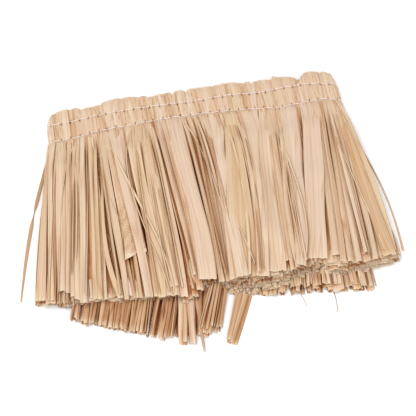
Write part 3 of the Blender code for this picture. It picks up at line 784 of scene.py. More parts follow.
def random_fold(rng: np.random.Generator) -> Fold:
    """A fold for a strip of no special place, the common ones more often."""
    folds = (Fold.FLAT, Fold.RIDGE, Fold.TROUGH, Fold.TURNED, Fold.ROLLED, Fold.STEPPED, Fold.PLEATED)
    return folds[int(rng.choice(len(folds), p=(0.08, 0.16, 0.14, 0.22, 0.12, 0.12, 0.16)))]


def random_look(rng: np.random.Generator, depths: tuple[float, float], tints: tuple[float, float],
                tones: tuple[float, float], tone: float = 0.0) -> Look:
    """A fold and finish for a strip of no special place.

    Args:
        rng: Source of the draws.
        depths: Least and greatest depth of the fold.
        tints: Least and greatest hue.
        tones: Least and greatest brightness, beside the next.
        tone: Brightness that it is added to.

    Returns:
        The look.
    """
    return Look(random_fold(rng), rng.uniform(*depths), rng.uniform(*tints), tone + rng.uniform(*tones))


@dataclass
class FrontFringe:
    """The front panel's strips: hidden layers first, then the bunches that show, then riders."""
    heap: Heap
    seed: int = 41
    segments: int = 30          # sections of a strip
    filling: int = 34           # narrow strips under those of the table
    riders: int = 26            # narrow strips over them
    tiers: int = 10             # of cut ends in the pile's face
    leaf_low: float = 0.84      # least height of the table's strips, as a share of the pile
    leaf_room: float = 9.0      # how far above it they may be raised
    root_lift: float = 13.9     # height of the strips at the stitches
    root_dip: float = 1.6       # how far the stitches press them down
    tuck: float = 0.2           # how far behind the stitches they start
    parts_at: float = 0.1       # share of the way at which the air beside a bunch begins to open
    open_gap: float = 5.0       # least gap that the hidden layers leave open
    wide_gap: float = 8.0       # gap past which they leave more than its width
    gap_root: float = -59.0     # root of the widest parting, which few cut ends fill

    def _row(self, root: Array) -> Array:
        """Share, below zero, at which a line passes the lower stitch row."""
        drift = np.interp(root, ROW_LOW_X, ROW_LOW_DRIFT)
        return -(SIZES.lower_row + drift + self.tuck) / FAN.length(root)

    def _ceiling(self, root: float, travel: Array, lift: float) -> Array:
        """Highest a strip may lie near the stitches: it rises from under them like a flat spray.

        The height is that of the heading's surface, less a dip that dies away from the stitches,
        plus a parabola of the length. Over the heading's end folds it follows their round section.

        Args:
            root: Root of the strip.
            travel: Length of the strip at each section.
            lift: How far over the heading's surface it starts.

        Returns:
            The greatest height at each section.
        """
        radius = SIZES.band_thick / 2.0
        past = np.clip(abs(root) - SIZES.waist_half + radius, 0.0, 0.97 * radius)
        drop = radius - math.sqrt(radius ** 2 - past ** 2)
        dip = self.root_dip * np.exp(-travel / 1.6)
        return self.root_lift - drop - dip + lift + 0.035 * travel + 0.0022 * travel ** 2

    def strip(self, root_left: float, root_right: float, gaps: tuple[float, float], low: float,
              end: float, look: Look, room: float, drift: tuple[float, float, float],
              columns: int = 5, start: float | None = None, lift: float = 0.0,
              snug: float | None = None) -> Strip:
        """A strip between two lines of the fan.

        Args:
            root_left: Root of its left edge.
            root_right: Root of its right edge.
            gaps: Air at the hem beside its left and right edge.
            low: Least height, as a share of the pile.
            end: Millimetres past the hem's line.
            look: Its fold, depth, hue and tone.
            room: How far above its least height it may be raised by what it lies on.
            drift: Sideways shift of the strip at its root and at its hem, and its extra bow.
            columns: Corners across its upper side.
            start: Share at which it starts, or none for the lower stitch row.
            lift: How far over the heading's surface it starts.
            snug: Least height at the stitches, where it differs from the rest.

        Returns:
            The strip, its lines from start to end.
        """
        middle = (root_left + root_right) / 2.0
        first = float(self._row(np.array(middle))) if start is None else start
        last = 1.0 + end / float(FAN.length(np.array(middle)))
        share = np.linspace(first, last, self.segments)
        left_x, left_y = FAN.place(np.full_like(share, root_left), share)
        right_x, right_y = FAN.place(np.full_like(share, root_right), share)
        grow = np.clip((share - self.parts_at) / (1.0 - self.parts_at), 0.0, 1.0) ** 0.8
        left_x = left_x + grow * gaps[0] / 2.0
        right_x = right_x - grow * gaps[1] / 2.0
        shift = drift[0] + (drift[1] - drift[0]) * share + drift[2] * np.sin(np.pi * share.clip(0.0, 1.0))
        travel = np.maximum(share - first, 0.0) * float(FAN.length(np.array(middle)))
        snugly = (low if snug is None else snug) - low
        base = (low + snugly * (1.0 - ease(share / 0.45))) * FAN.pile(np.full_like(share, middle), share)
        ceiling = base + room
        if start is None:
            highest = self._ceiling(middle, travel, lift)
            base, ceiling = np.minimum(base, highest), np.minimum(ceiling, highest)
        return Strip((left_x + right_x) / 2.0 + shift, (left_y + right_y) / 2.0,
                     np.maximum((right_x - left_x) / 2.0, 0.5), base, ceiling, *look, columns)

    def leaf(self, leaf: Leaf) -> Strip:
        """A strip of the table: a cubic through its four X, a parabola through its three widths.

        Args:
            leaf: Its row.

        Returns:
            The strip, its lines from the stitches to its end.
        """
        root, hem = leaf.line[0], leaf.line[-1]
        top = float(SIZES.low_line(np.array(root)))
        length = top - float(np.interp(hem, HEM_X, HEM_Y))
        count = 170 if leaf.fold is Fold.CRINKLED else self.segments + 6
        share = np.linspace(float(self._row(np.array(root))), 1.0 + leaf.end / length, count)
        part = share / share[-1]
        x = np.polyval(np.polyfit(np.linspace(0.0, 1.0, 4), leaf.line, 3), part)
        width = np.polyval(np.polyfit((0.0, 0.5, 1.0), leaf.widths, 2), part)
        travel = (share - share[0]) * length
        low = self.leaf_low - leaf.sunk * ease(share / 0.5)
        sides = [FAN.pile(FAN.root_at(x + side * width / 2.0, share), share) for side in (-1.0, 1.0)]
        base = low * (sides[0] + sides[1]) / 2.0
        room = self.leaf_room + 0.5 * np.abs(sides[0] - sides[1])
        highest = self._ceiling(root, travel, 0.3)
        columns = int(np.clip(width.max() / 1.5, 5.0, 17.0))
        return Strip(x, top - length * share, np.maximum(width / 2.0, 0.7), np.minimum(base, highest),
                     np.minimum(base + room, highest), leaf.fold, 0.75 * leaf.depth, leaf.tint, leaf.tone,
                     columns)

    def top(self) -> Cloth:
        """The strips that show: narrow ones laid at random, then the table's, then a few more.

        Returns:
            The layer's bodies.
        """
        layer = StripLayer("front_fringe_top", self.heap, self.seed)
        rng = np.random.default_rng(self.seed + 1)
        for _ in range(self.filling):
            self._rider(layer, rng, 0.78, (-1.5, 4.0), ((-190.0, -64.0), (-52.0, 190.0)))
        for leaf in LEAVES:
            layer.add(self.leaf(leaf))
        for _ in range(self.riders):
            self._rider(layer, rng, 0.86, (-4.0, 5.0), RIDER_ROOTS)
        return layer.cloth

    def _rider(self, layer: StripLayer, rng: np.random.Generator, low: float,
               ends: tuple[float, float], zones: tuple[tuple[float, float], ...]) -> None:
        """Lay a narrow strip, which strays a little on its way down.

        Args:
            layer: What it is laid in.
            rng: Source of the draws.
            low: Least height, as a share of the pile.
            ends: Least and greatest distance of its end past the hem's line.
            zones: Spans of roots that it may start in.
        """
        spans = np.array([last - first for first, last in zones])
        first, last = zones[int(rng.choice(len(zones), p=spans / spans.sum()))]
        middle = rng.uniform(first, last)
        half = rng.choice((rng.uniform(0.5, 1.1), rng.uniform(1.1, 2.6)))
        look = random_look(rng, (0.9, 2.0), (0.1, 0.8), (0.9, 1.05))
        layer.add(self.strip(middle - half, middle + half, (0.0, 0.0), low, rng.uniform(*ends), look,
                             lift=rng.uniform(0.0, 0.5), room=self.leaf_room,
                             drift=(rng.normal(0.0, 0.6), rng.normal(0.0, 3.0), rng.normal(0.0, 2.5))))

    def hidden(self, name: str, low: float, longer: float, width: float, tone: float, seed: int) -> Cloth:
        """A layer under the top one, whose strips leave the widest partings open.

        Args:
            name: Name of the piece.
            low: Least height, as a share of the pile.
            longer: Share of the hem's shelf that its strips reach past the hem's line.
            width: Width of a strip at its root.
            tone: Its tone, which main sets lower the deeper the layer lies: painted shade.
            seed: Seed of its uneven strips.

        Returns:
            The layer's bodies.
        """
        layer = StripLayer(name, self.heap, seed)
        rng = np.random.default_rng(seed + 1)
        open_partings = [row for row in PARTINGS[1:-1] if row.gap >= self.open_gap]
        stops = [PARTINGS[0], *open_partings, PARTINGS[-1]]
        for left, right in zip(stops, stops[1:]):
            count = max(round((right.root - left.root) / width), 1)
            roots = np.linspace(left.root, right.root, count + 1)
            roots[1:-1] += rng.uniform(-1.5, 1.5, count - 1)
            for place in rng.permutation(count):
                gaps = (left.gap if place == 0 else 0.0, right.gap if place == count - 1 else 0.0)
                gaps = tuple(1.8 * gap if gap > self.wide_gap else gap for gap in gaps)
                look = random_look(rng, (1.2, 2.4), (0.1, 0.9), (-0.06, 0.06), tone)
                side = 1.5 if 0 < place < count - 1 else 0.4
                hem = float(FAN.hem_x(np.array((roots[place] + roots[place + 1]) / 2.0)))
                reach = longer * float(np.interp(hem, SHELF_X, SHELF_OUT))
                layer.add(self.strip(roots[place], roots[place + 1], gaps, low,
                                     reach + rng.uniform(-3.0, 2.0), look, columns=7, start=0.004,
                                     drift=(0.0, rng.normal(0.0, side), rng.normal(0.0, side)),
                                     room=1.0, snug=low + 0.08))
        return layer.cloth

    def sides(self) -> Cloth:
        """Strips down both sides of the pile, between the floor and the layers that show.

        Each is the fan's outermost line, moved outwards by a power of the way that is left to the
        hem, and inwards by the square root of the way done.

        Returns:
            Their bodies.
        """
        layer = StripLayer("fringe_sides", self.heap, self.seed + 3)
        rng = np.random.default_rng(self.seed + 4)
        for side, edge, bulge in ((-1.0, FAN.roots[0], 1.0), (1.0, FAN.roots[-1], 0.0)):
            for level in np.repeat(np.linspace(0.08, 0.66, 9), 2):
                share = np.linspace(-0.004, 1.0 + rng.uniform(-0.02, 0.03), 22)
                away = (1.0 - 0.55 * level) * rng.uniform(0.4, 1.0)
                line_x, line_y = FAN.place(np.full_like(share, edge), share)
                inwards = rng.uniform(-4.5, 0.0) - 3.0 * (1.0 - bulge)
                x = line_x + side * (7.0 * away * (1.0 - share) ** (3.0 - 2.0 * bulge)
                                     + inwards * share.clip(0.0, 1.0) ** 0.5)
                base = np.maximum(level * FAN.pile(np.full_like(share, edge), share), 0.6)
                half = rng.uniform(1.4, 2.6) * (0.7 + 0.5 * share)
                look = random_look(rng, (0.8, 1.6), (0.1, 0.7), (0.84, 0.96))
                layer.add(Strip(x, line_y, half, base, base + 0.6, *look, 5))
        return layer.cloth

    def strays(self) -> Cloth:
        """The two strands apart on the floor, one beside each side, and two fine fibres.

        Each strand runs straight but for its bow, a half sine wave. The left one is twisted once,
        where a bell curve narrows it.

        Returns:
            Their bodies.
        """
        layer = StripLayer("stray_strands", Heap(), self.seed + 5)
        share = np.linspace(0.0, 1.0, 40)
        twist = 1.0 - 0.78 * np.exp(-((share - 0.44) / 0.05) ** 2)
        fall = np.maximum(7.0 * (1.0 - 4.0 * share), 0.7)
        left_x = -197.0 - 64.0 * share ** 0.86 - 4.0 * np.sin(np.pi * share)
        left_half = (1.0 + 1.5 * np.sin(np.pi * share ** 0.8)) * twist
        layer.add(Strip(left_x, 131.0 - 219.0 * share, left_half, fall, fall + 3.0, Fold.TROUGH, 0.8, 0.4,
                        0.88, 5))
        right_x = 193.0 + 36.0 * share + 12.0 * np.sin(np.pi * share) + np.sin(7.0 * share + 2.0)
        layer.add(Strip(right_x, 131.0 - 230.0 * share, 0.8 + 0.9 * share, fall, fall + 3.0, Fold.RIDGE, 0.8,
                        0.3, 1.04, 5))
        for points, tone in zip(FLOOR_FIBRES, (0.62, 0.95)):
            self._fibre(layer, points, 0.0, tone)
        return layer.cloth

    def fibres(self) -> Cloth:
        """Fine loose fibres that lie on the strips.

        Returns:
            Their bodies.
        """
        layer = StripLayer("loose_fibres", self.heap, self.seed + 9)
        for points in FIBRES:
            self._fibre(layer, points, 0.80)
        return layer.cloth

    def _fibre(self, layer: StripLayer, points: tuple[tuple[float, float], ...], low: float,
               tone: float = 1.08) -> None:
        """Lay one fibre, a cubic through four points.

        Args:
            layer: What it is laid in.
            points: X and Y of the points.
            low: Least height, as a share of the pile, or 0 on the floor.
            tone: Brightness of the fibre.
        """
        share = np.linspace(0.0, 1.0, 26)
        x, y = (np.polyval(np.polyfit(np.linspace(0.0, 1.0, 4), line, 3), share) for line in zip(*points))
        way = (SIZES.low_line(x) - y) / 240.0
        base = np.maximum(low * FAN.pile(FAN.root_at(x, way), way), 0.5)
        half = np.full_like(share, 0.42)
        layer.add(Strip(x, y, half, base, base + 6.0 * low, Fold.ROLLED, 0.3, 0.1, tone, 5))

    def cut_ends(self) -> Cloth:
        """Short strips at the hem, tier on tier, whose cut ends fill the pile's face.

        Each one climbs from lower down at its start to its tier's height.

        Returns:
            Their bodies.
        """
        layer = StripLayer("front_cut_ends", self.heap, self.seed + 7)
        rng = np.random.default_rng(self.seed + 8)
        for tier in range(self.tiers):
            level = 0.05 + 0.74 * tier / (self.tiers - 1)
            root = FAN.roots[0] + 3.0
            while root < FAN.roots[-1] - 2.0:
                width = min(rng.uniform(4.0, 11.0), FAN.roots[-1] - root)
                pile = float(np.interp(root, FAN.roots, FAN.heights))
                in_gap = abs(root + width / 2.0 - self.gap_root) < 5.0 and level > 0.3
                if rng.uniform() < pile / 24.0 + 0.1 and not in_gap:
                    look = random_look(rng, (0.9, 1.9), (0.1, 0.8), (1.0, 1.08))
                    hem = float(FAN.hem_x(np.array(root)))
                    out = (1.0 - level) * float(np.interp(hem, SHELF_X, SHELF_OUT))
                    piece = self.strip(root, root + width, (0.0, 0.0), level, out + rng.uniform(-3.0, 2.0),
                                       look, start=rng.uniform(0.72, 0.80),
                                       drift=(0.0, rng.normal(0.0, 2.0), 0.0), room=0.8)
                    climb = 0.45 + 0.55 * ease(np.linspace(0.0, 1.6, len(piece.base)))
                    piece.base, piece.ceiling = piece.base * climb, piece.ceiling * climb
                    layer.add(shorter(piece, 9))
                root += width * rng.uniform(0.55, 0.85)
        return layer.cloth


def shorter(strip: Strip, count: int) -> Strip:
    """Give a strip fewer sections.

    Args:
        strip: The strip, which is changed.
        count: Its new number of sections.

    Returns:
        The same strip.
    """
    old = np.linspace(0.0, 1.0, len(strip.x))
    new = np.linspace(0.0, 1.0, count)
    for name in ("x", "y", "half", "base", "ceiling"):
        setattr(strip, name, np.interp(new, old, getattr(strip, name)))
    return strip


@dataclass
class BackFringe:
    """The back panel's strips below the front hem, flat on the floor and fanned in groups."""
    heap: Heap
    sections: int = 16

    def layer(self, name: str, groups: tuple[Group, ...], low: float, tone: float, seed: int) -> Cloth:
        """One layer of them, from under the front fringe to their cut ends.

        Args:
            name: Name of the piece.
            groups: The groups of strips.
            low: Least height, as a share of the pile at the front hem.
            tone: Its tone, which main sets low as painted shade under the front panel.
            seed: Seed of the uneven strips.

        Returns:
            The layer's bodies.
        """
        layer = StripLayer(name, self.heap, seed)
        rng = np.random.default_rng(seed + 1)
        start = SIZES.core_hem + 6.0
        for group in groups:
            share = (np.arange(group.strips) + 0.5) / group.strips
            roots = group.root_first + (group.root_last - group.root_first) * share
            hems = group.hem_first + (group.hem_last - group.hem_first) * share
            reaches = group.reach_first + (group.reach_last - group.reach_first) * share
            for place in rng.permutation(group.strips):
                travel = np.linspace(0.0, 1.0, self.sections)
                hem = hems[place] + rng.normal(0.0, 2.6)
                reach = reaches[place] + rng.uniform(-2.5, 2.0)
                x = roots[place] + (hem - roots[place]) * travel
                y = start + (reach - start) * travel
                half = group.half * rng.uniform(0.55, 1.45) * (1.0 - group.taper * travel ** 2)
                settle = 1.0 - 0.35 * travel
                base = np.maximum(0.6, low * settle * FAN.pile_at(x))
                ceiling = np.maximum(2.5, (low + 0.30) * FAN.pile_at(x) * (1.0 - 0.3 * travel))
                look = random_look(rng, (0.8, 1.9), (0.15, 0.8), (-0.08, 0.08), tone + group.shade)
                layer.add(Strip(x, y, half, base, ceiling, *look, columns=7, opening=0.01))
        return layer.cloth


@dataclass
class InnerStrands:
    """The strands that no view shows, as one grooved mat on the floor."""
    columns: int = 260
    rows: int = 26
    seed: int = 77
    length: float = 230.0
    groove: float = 1.3
    least: float = 0.9
    grain_number: float = 5.0
    # Low tone: painted shade of the mat deep under the pile
    tone: float = 0.55

    def build(self) -> Cloth:
        """The mat: the fan's lines across and its shares down, raised to the core's height.

        The height is the pile's height times the core's share, which falls in two steps at each
        side, less a groove between strands: the depth times the square of a sine along the
        roots, with a phase that strays.

        Returns:
            Its body.
        """
        cloth = Cloth("inner_strands")
        rng = np.random.default_rng(self.seed)
        root = np.linspace(FAN.roots[0] + 0.5, FAN.roots[-1] - 0.5, self.columns)
        inward = np.minimum(root - FAN.roots[0], FAN.roots[-1] - root)
        level = np.interp(inward, CORE_INWARD, CORE_LEVEL)
        phase = np.cumsum(rng.uniform(0.6, 1.4, self.columns)) * 0.75
        under_band = root * SIZES.waist_half / FAN.roots[-1]
        begin = (SIZES.low_line(root) - SIZES.low_line(under_band) + SIZES.back_shift) / FAN.length(root)
        end = (SIZES.low_line(root) - SIZES.core_hem) / FAN.length(root)
        travel = np.linspace(0.0, 1.0, self.rows)[:, None]
        share = begin + (end - begin) * travel
        wide = np.broadcast_to(root, share.shape)
        x, y = FAN.place(wide, share)
        top = level * FAN.pile(wide, share) - self.groove * np.sin(phase + 0.4 * travel) ** 2
        top = np.maximum(top, self.least)
        bottom = np.broadcast_to(0.35 * np.sin(phase) ** 2, share.shape)
        upper, lower = np.stack((x, y, top), axis=-1), np.stack((x, y, bottom), axis=-1)
        ring = np.concatenate((upper, lower[:, ::-1]), axis=1)
        around = 2 * self.columns
        grain = np.empty((self.rows, around, 3))
        grain[..., 0] = np.concatenate((root, root[::-1]))
        grain[..., 1] = travel * self.length
        grain[..., 2] = self.grain_number
        hue = 0.5 + 0.3 * np.sin(3.0 * phase)
        look = np.zeros((self.rows, around, 3))
        look[..., 0] = np.concatenate((hue, hue[::-1]))
        look[..., 2] = self.tone
        faces = closed_tube(self.rows, around)
        cloth.add(ring.reshape(-1, 3), faces[:, ::-1], grain.reshape(-1, 3), look.reshape(-1, 3))
        return cloth


class Ring:
    """Stations round the flattened heading: front run, right fold, back run, left fold."""

    def __init__(self, spacing: float = 0.75, fold_stations: int = 16) -> None:
        """Place the stations.

        Args:
            spacing: Distance between stations on the two straight runs.
            fold_stations: Stations on each end fold.
        """
        self.radius = SIZES.band_thick / 2.0
        self.straight = SIZES.waist_half - self.radius
        count = int(2.0 * self.straight / spacing)
        run = np.linspace(-self.straight, self.straight, count)
        turn = np.linspace(0.5, -0.5, fold_stations + 2)[1:-1] * np.pi
        flat = np.full(count, 0.5 * np.pi)
        self.angle = np.concatenate((flat, turn, -flat, np.pi - turn[::-1]))
        self.run = np.concatenate((run, np.full(fold_stations, self.straight), run[::-1],
                                   np.full(fold_stations, -self.straight)))
        step = np.concatenate((np.full(count, spacing), np.full(fold_stations, self.radius * 0.17)) * 2)
        self.arc = np.cumsum(step)
        self.total = float(self.arc[-1] + spacing)
        self.front = (1.0 + np.sin(self.angle)) / 2.0
        self.shift = -SIZES.back_shift * ease(1.0 - self.front)
        self.x = self.run + self.radius * np.cos(self.angle)

    def surface(self, level: Array, depth: Array) -> tuple[Array, Array]:
        """Places on a face of the heading: about each station's centre, at its angle.

        Args:
            level: Where the face lies in the wall, 0 outside to 1 inside.
            depth: How far each place lies inwards of the face.

        Returns:
            X and Z of the places.
        """
        inner_z = SIZES.back_wall + SIZES.inner_radius
        centre = self.radius + (inner_z - self.radius) * level
        radius = self.radius + (SIZES.inner_radius - self.radius) * level - depth
        return self.run + radius * np.cos(self.angle), centre + radius * np.sin(self.angle)


@dataclass
class Heading:
    """The gathered heading: nested ruffled rings, pinched by two rows of stitching."""
    seed: int = 23
    stitch: float = 12.4                             # mean length
    stitch_gap: float = 1.0                          # between two stitches
    row_stations: tuple[int, int] = (3, 14)          # height rows of a shell that the stitch rows are
    thread_radius: float = 0.48
    thread_sides: int = 8
    thread_lift: tuple[float, float] = (0.9, 0.4)    # of the lower and upper row, over the cloth
    pinch: float = 1.25                              # how deep a stitch row lies in the cloth
    tick: float = 1.5                                # how much deeper each stitch's ends lie
    lowest: float = 0.02

    def __post_init__(self) -> None:
        """Place the stations, the rows and the stitches round the ring."""
        self.ring = Ring()
        self.rng = np.random.default_rng(self.seed)
        ring = self.ring
        back = 1.0 - ease(ring.front)
        drift = {name: self._stray(3.0) for name in ("low", "high")}
        self.low = SIZES.low_line(ring.x) + ring.shift
        lower = np.interp(ring.x, ROW_LOW_X, ROW_LOW_DRIFT) * (1.0 - back) + back * drift["low"]
        upper = np.interp(ring.x, ROW_HIGH_X, ROW_HIGH_DRIFT) * (1.0 - back) + back * drift["high"]
        self.row_low = self.low + SIZES.lower_row + lower + 0.35 * self._stray(40.0)
        self.row_high = self.low + SIZES.lower_row + SIZES.row_spacing + upper + 0.35 * self._stray(40.0)
        ruffle = np.interp(ring.x, RUFFLE_X, RUFFLE_RISE)
        rise = ruffle * (1.0 - back) + back * (3.0 + 1.6 * self._stray(14.0))
        self.top = SIZES.top_line(ring.x) + ring.shift + rise
        self.low = self.row_low - SIZES.lower_row
        self.stitches = [self._stitch_starts() for _ in range(2)]

    def _stray(self, waves: float) -> Array:
        """An uneven wave round the ring: three sines of random phase.

        Args:
            waves: About how many waves go round.

        Returns:
            The wave at each station.
        """
        turn = 2.0 * np.pi * self.ring.arc / self.ring.total
        total = np.zeros_like(turn)
        for factor in (0.7, 1.0, 1.6):
            total += np.sin(turn * round(waves * factor) + self.rng.uniform(0.0, 6.0))
        return total / 1.8

    def _stitch_starts(self) -> Array:
        """Place the stitches of one row.

        Returns:
            Arc lengths where they begin, with a last one that closes the ring.
        """
        count = int(self.ring.total / self.stitch)
        steps = self.rng.uniform(0.86, 1.14, count)
        return np.concatenate(((0.0,), np.cumsum(steps))) * self.ring.total / steps.sum()

    def _pleats(self, kind: Pleats, height: Array) -> Array:
        """Depth of a set of pleats.

        Between two uneven edges the surface rises from its valley as one less a falling
        exponential, and drops back over a short stretch before the next edge, on one side or the
        other. Each edge also slants with the height.

        Args:
            kind: The set.
            height: Height of each row, in distances between the stitch rows.

        Returns:
            The depth at each height row and station.
        """
        rng = self.rng
        count = int(self.ring.total / kind.spacing)
        widths = rng.lognormal(0.0, kind.spread, count)
        edges = np.concatenate(((0.0,), np.cumsum(widths))) * self.ring.total / widths.sum()
        slants = rng.normal(0.0, kind.slant, count + 1)
        strengths = kind.strength * rng.uniform(0.25, 1.25, count) * np.clip(widths, 0.5, 1.6)
        flips = rng.random(count) < 0.35
        sharps = rng.uniform(0.06, 0.2, count)
        depth = np.empty((len(height), len(self.ring.arc)))
        for row, rise in enumerate(height):
            moved = np.maximum.accumulate(edges + slants * rise)
            moved[0], moved[-1] = min(moved[0], 0.0), max(moved[-1], self.ring.total)
            which = np.clip(np.searchsorted(moved, self.ring.arc, side="right") - 1, 0, count - 1)
            share = (self.ring.arc - moved[which]) / np.maximum(moved[which + 1] - moved[which], 0.2)
            share = np.where(flips[which], 1.0 - share, share)
            crest = (1.0 - np.exp(-share / 0.35)) / (1.0 - np.exp(-1.0 / 0.35))
            crest = crest * (1.0 - np.exp(-(1.0 - share) / sharps[which]))
            depth[row] = strengths[which] * (1.0 - crest)
        return depth

    def shell(self, name: str, levels: tuple[float, float], depth_scale: float, drop: float,
              rows: int, hue: float) -> tuple[Cloth, Array]:
        """One closed ring of the heading.

        Its height rows run from its lower edge over the two stitch rows to its ruffled edge. Its
        depth is the sum of three sets of pleats, less deep near the stitch rows, plus a bell curve
        at each stitch row and at each stitch's ends.

        Args:
            name: Name of the piece.
            levels: Where its outer and inner face lie in the wall, 0 outside to 1 inside.
            depth_scale: Size of its pleats beside the outer ring's.
            drop: How far its ruffled edge lies below the outer ring's.
            rows: Height rows above the upper stitch row.
            hue: Hue of its raffia.

        Returns:
            The ring's body, and its outer points by height row and station.
        """
        ring = self.ring
        below = np.array((0.0, 0.35, 0.75))
        between = 1.0 + np.array((0.0, 0.04, 0.10, 0.20, 0.33, 0.46, 0.59, 0.72, 0.84, 0.92, 0.965))
        above = 2.0 + np.concatenate(((0.0, 0.05, 0.12), np.linspace(0.22, 1.0, rows)))
        stops = np.concatenate((below, between, above))
        lines = np.stack((self.low, self.row_low, self.row_high, self.top - drop
                          - 0.25 * depth_scale * (1.0 + self._stray(60.0))))
        cell = np.minimum(stops.astype(int), 2)
        part = (stops - cell)[:, None]
        y = lines[cell] * (1.0 - part) + lines[cell + 1] * part
        fine = self._pleats(FINE_PLEATS, stops - 1.0)
        broad = self._pleats(BROAD_PLEATS, stops - 2.0)
        hair = self._pleats(HAIR_PLEATS, stops - 1.0)
        upper = ease((stops - 1.9) / 0.4)[:, None]
        depth = hair + fine * (1.0 - 0.3 * upper) + broad * (0.35 + 0.65 * upper)
        near = np.exp(-((y - self.row_low) / 2.0) ** 2) + np.exp(-((y - self.row_high) / 2.0) ** 2)
        depth = depth_scale * depth * (1.0 - 0.45 * near) + self.pinch * near
        depth += 0.9 * depth_scale * ease((stops - 2.5) / 0.5)[:, None] * (1.0 + 0.5 * self._stray(45.0))
        ticks = np.zeros_like(depth)
        for starts, row in zip(self.stitches, (self.row_low + 1.0, self.row_high - 1.0)):
            away = np.abs(ring.arc[:, None] - starts[None, :]).min(axis=1)
            ticks += np.exp(-(away / 0.8) ** 2 - ((y - row) / 1.8) ** 2)
        depth += self.tick * depth_scale * ticks
        lively = 0.25 + 0.75 * ease(ring.front)
        depth = np.maximum(depth, 0.0) * lively
        outer = self._placed(levels[0], depth, y)
        inner = self._placed(levels[1], 0.85 * depth * (1.0 - levels[1]), y)
        section = np.concatenate((outer, inner[::-1]), axis=0)
        around, stations = section.shape[:2]
        index = np.arange(around * stations).reshape(around, stations)
        ahead, up = np.roll(index, -1, axis=1), np.roll(index, -1, axis=0)
        both = np.roll(up, -1, axis=1)
        faces = np.stack((index, ahead, both, up), axis=-1).reshape(-1, 4)
        grain = np.empty(section.shape)
        grain[..., 0] = ring.arc
        grain[..., 1] = section[..., 1]
        grain[..., 2] = 3.0 + 40.0 * hue
        look = np.zeros(section.shape)
        patches = np.concatenate((broad, broad[::-1]), axis=0)
        look[..., 0] = hue + 0.08 * self._stray(30.0) + 0.03 * patches
        # Painted shade: the tone falls where the broad pleats lie deep, at each stitch's ends and in the
        # fine and hair pleats' valleys
        look[..., 2] = 1.04 - 0.04 * patches + 0.04 * self._stray(24.0)
        look[:len(stops), :, 2] -= 0.8 * ticks + 0.12 * hair ** 2 + 0.05 * fine
        cloth = Cloth(name)
        cloth.add(section.reshape(-1, 3), faces, grain.reshape(-1, 3), look.reshape(-1, 3))
        return cloth, outer

    def _placed(self, level: float, depth: Array, y: Array) -> Array:
        """Points of a face at this level of the wall, by height row and station."""
        x, z = self.ring.surface(level, depth)
        return np.stack(np.broadcast_arrays(x, y, np.maximum(z, self.lowest)), axis=-1)

    def stitching(self, outer: Array) -> Cloth:
        """Both rows of thread, each stitch a round tube that dives into the cloth at its ends.

        Args:
            outer: Outer points of the outermost ring, by height row and station.

        Returns:
            The thread's bodies.
        """
        cloth = Cloth("stitching")
        ring = self.ring
        turn = np.linspace(0.0, 2.0 * np.pi, self.thread_sides, endpoint=False)
        side = np.array((0.0, 1.0, 0.0))
        arc = np.concatenate((ring.arc - ring.total, ring.arc, ring.arc + ring.total))
        for starts, row, lift in zip(self.stitches, self.row_stations, self.thread_lift):
            points = outer[row]
            outwards = np.stack((np.cos(ring.angle), np.zeros_like(ring.angle), np.sin(ring.angle)), axis=1)
            centres = np.stack(np.broadcast_arrays(ring.run, 0.0, ring.radius), axis=1)
            reach = ((points - centres) * outwards).sum(axis=1)
            spanned = smooth(highest_near(reach[:, None], 3), 4)[:, 0]
            path = points + outwards * (spanned - reach)[:, None]
            tripled, normal = np.tile(path, (3, 1)), np.tile(outwards, (3, 1))
            for first, last in zip(starts, starts[1:]):
                at = np.linspace(first + self.stitch_gap * 0.3, last - self.stitch_gap * 0.3, 13)
                line = np.stack([np.interp(at, arc, tripled[:, axis]) for axis in range(3)], axis=1)
                out = np.stack([np.interp(at, arc, normal[:, axis]) for axis in range(3)], axis=1)
                share = np.linspace(-1.0, 1.0, len(at))
                line = line + out * (lift - 1.3 * np.abs(share)[:, None] ** 16)
                line[:, 1] += 0.25 * self.rng.normal() * share
                circle = (np.cos(turn)[None, :, None] * out[:, None, :]
                          + np.sin(turn)[None, :, None] * side[None, None, :])
                tube = line[:, None, :] + self.thread_radius * circle
                tube[..., 2] = np.maximum(tube[..., 2], 0.5 * self.lowest)
                grain = np.empty(tube.shape)
                grain[..., 0] = turn
                grain[..., 1] = at[:, None]
                grain[..., 2] = float(row)
                look = np.full(tube.shape, 0.5)
                faces = closed_tube(len(at), len(turn))
                cloth.add(tube.reshape(-1, 3), faces, grain.reshape(-1, 3), look.reshape(-1, 3))
        return cloth


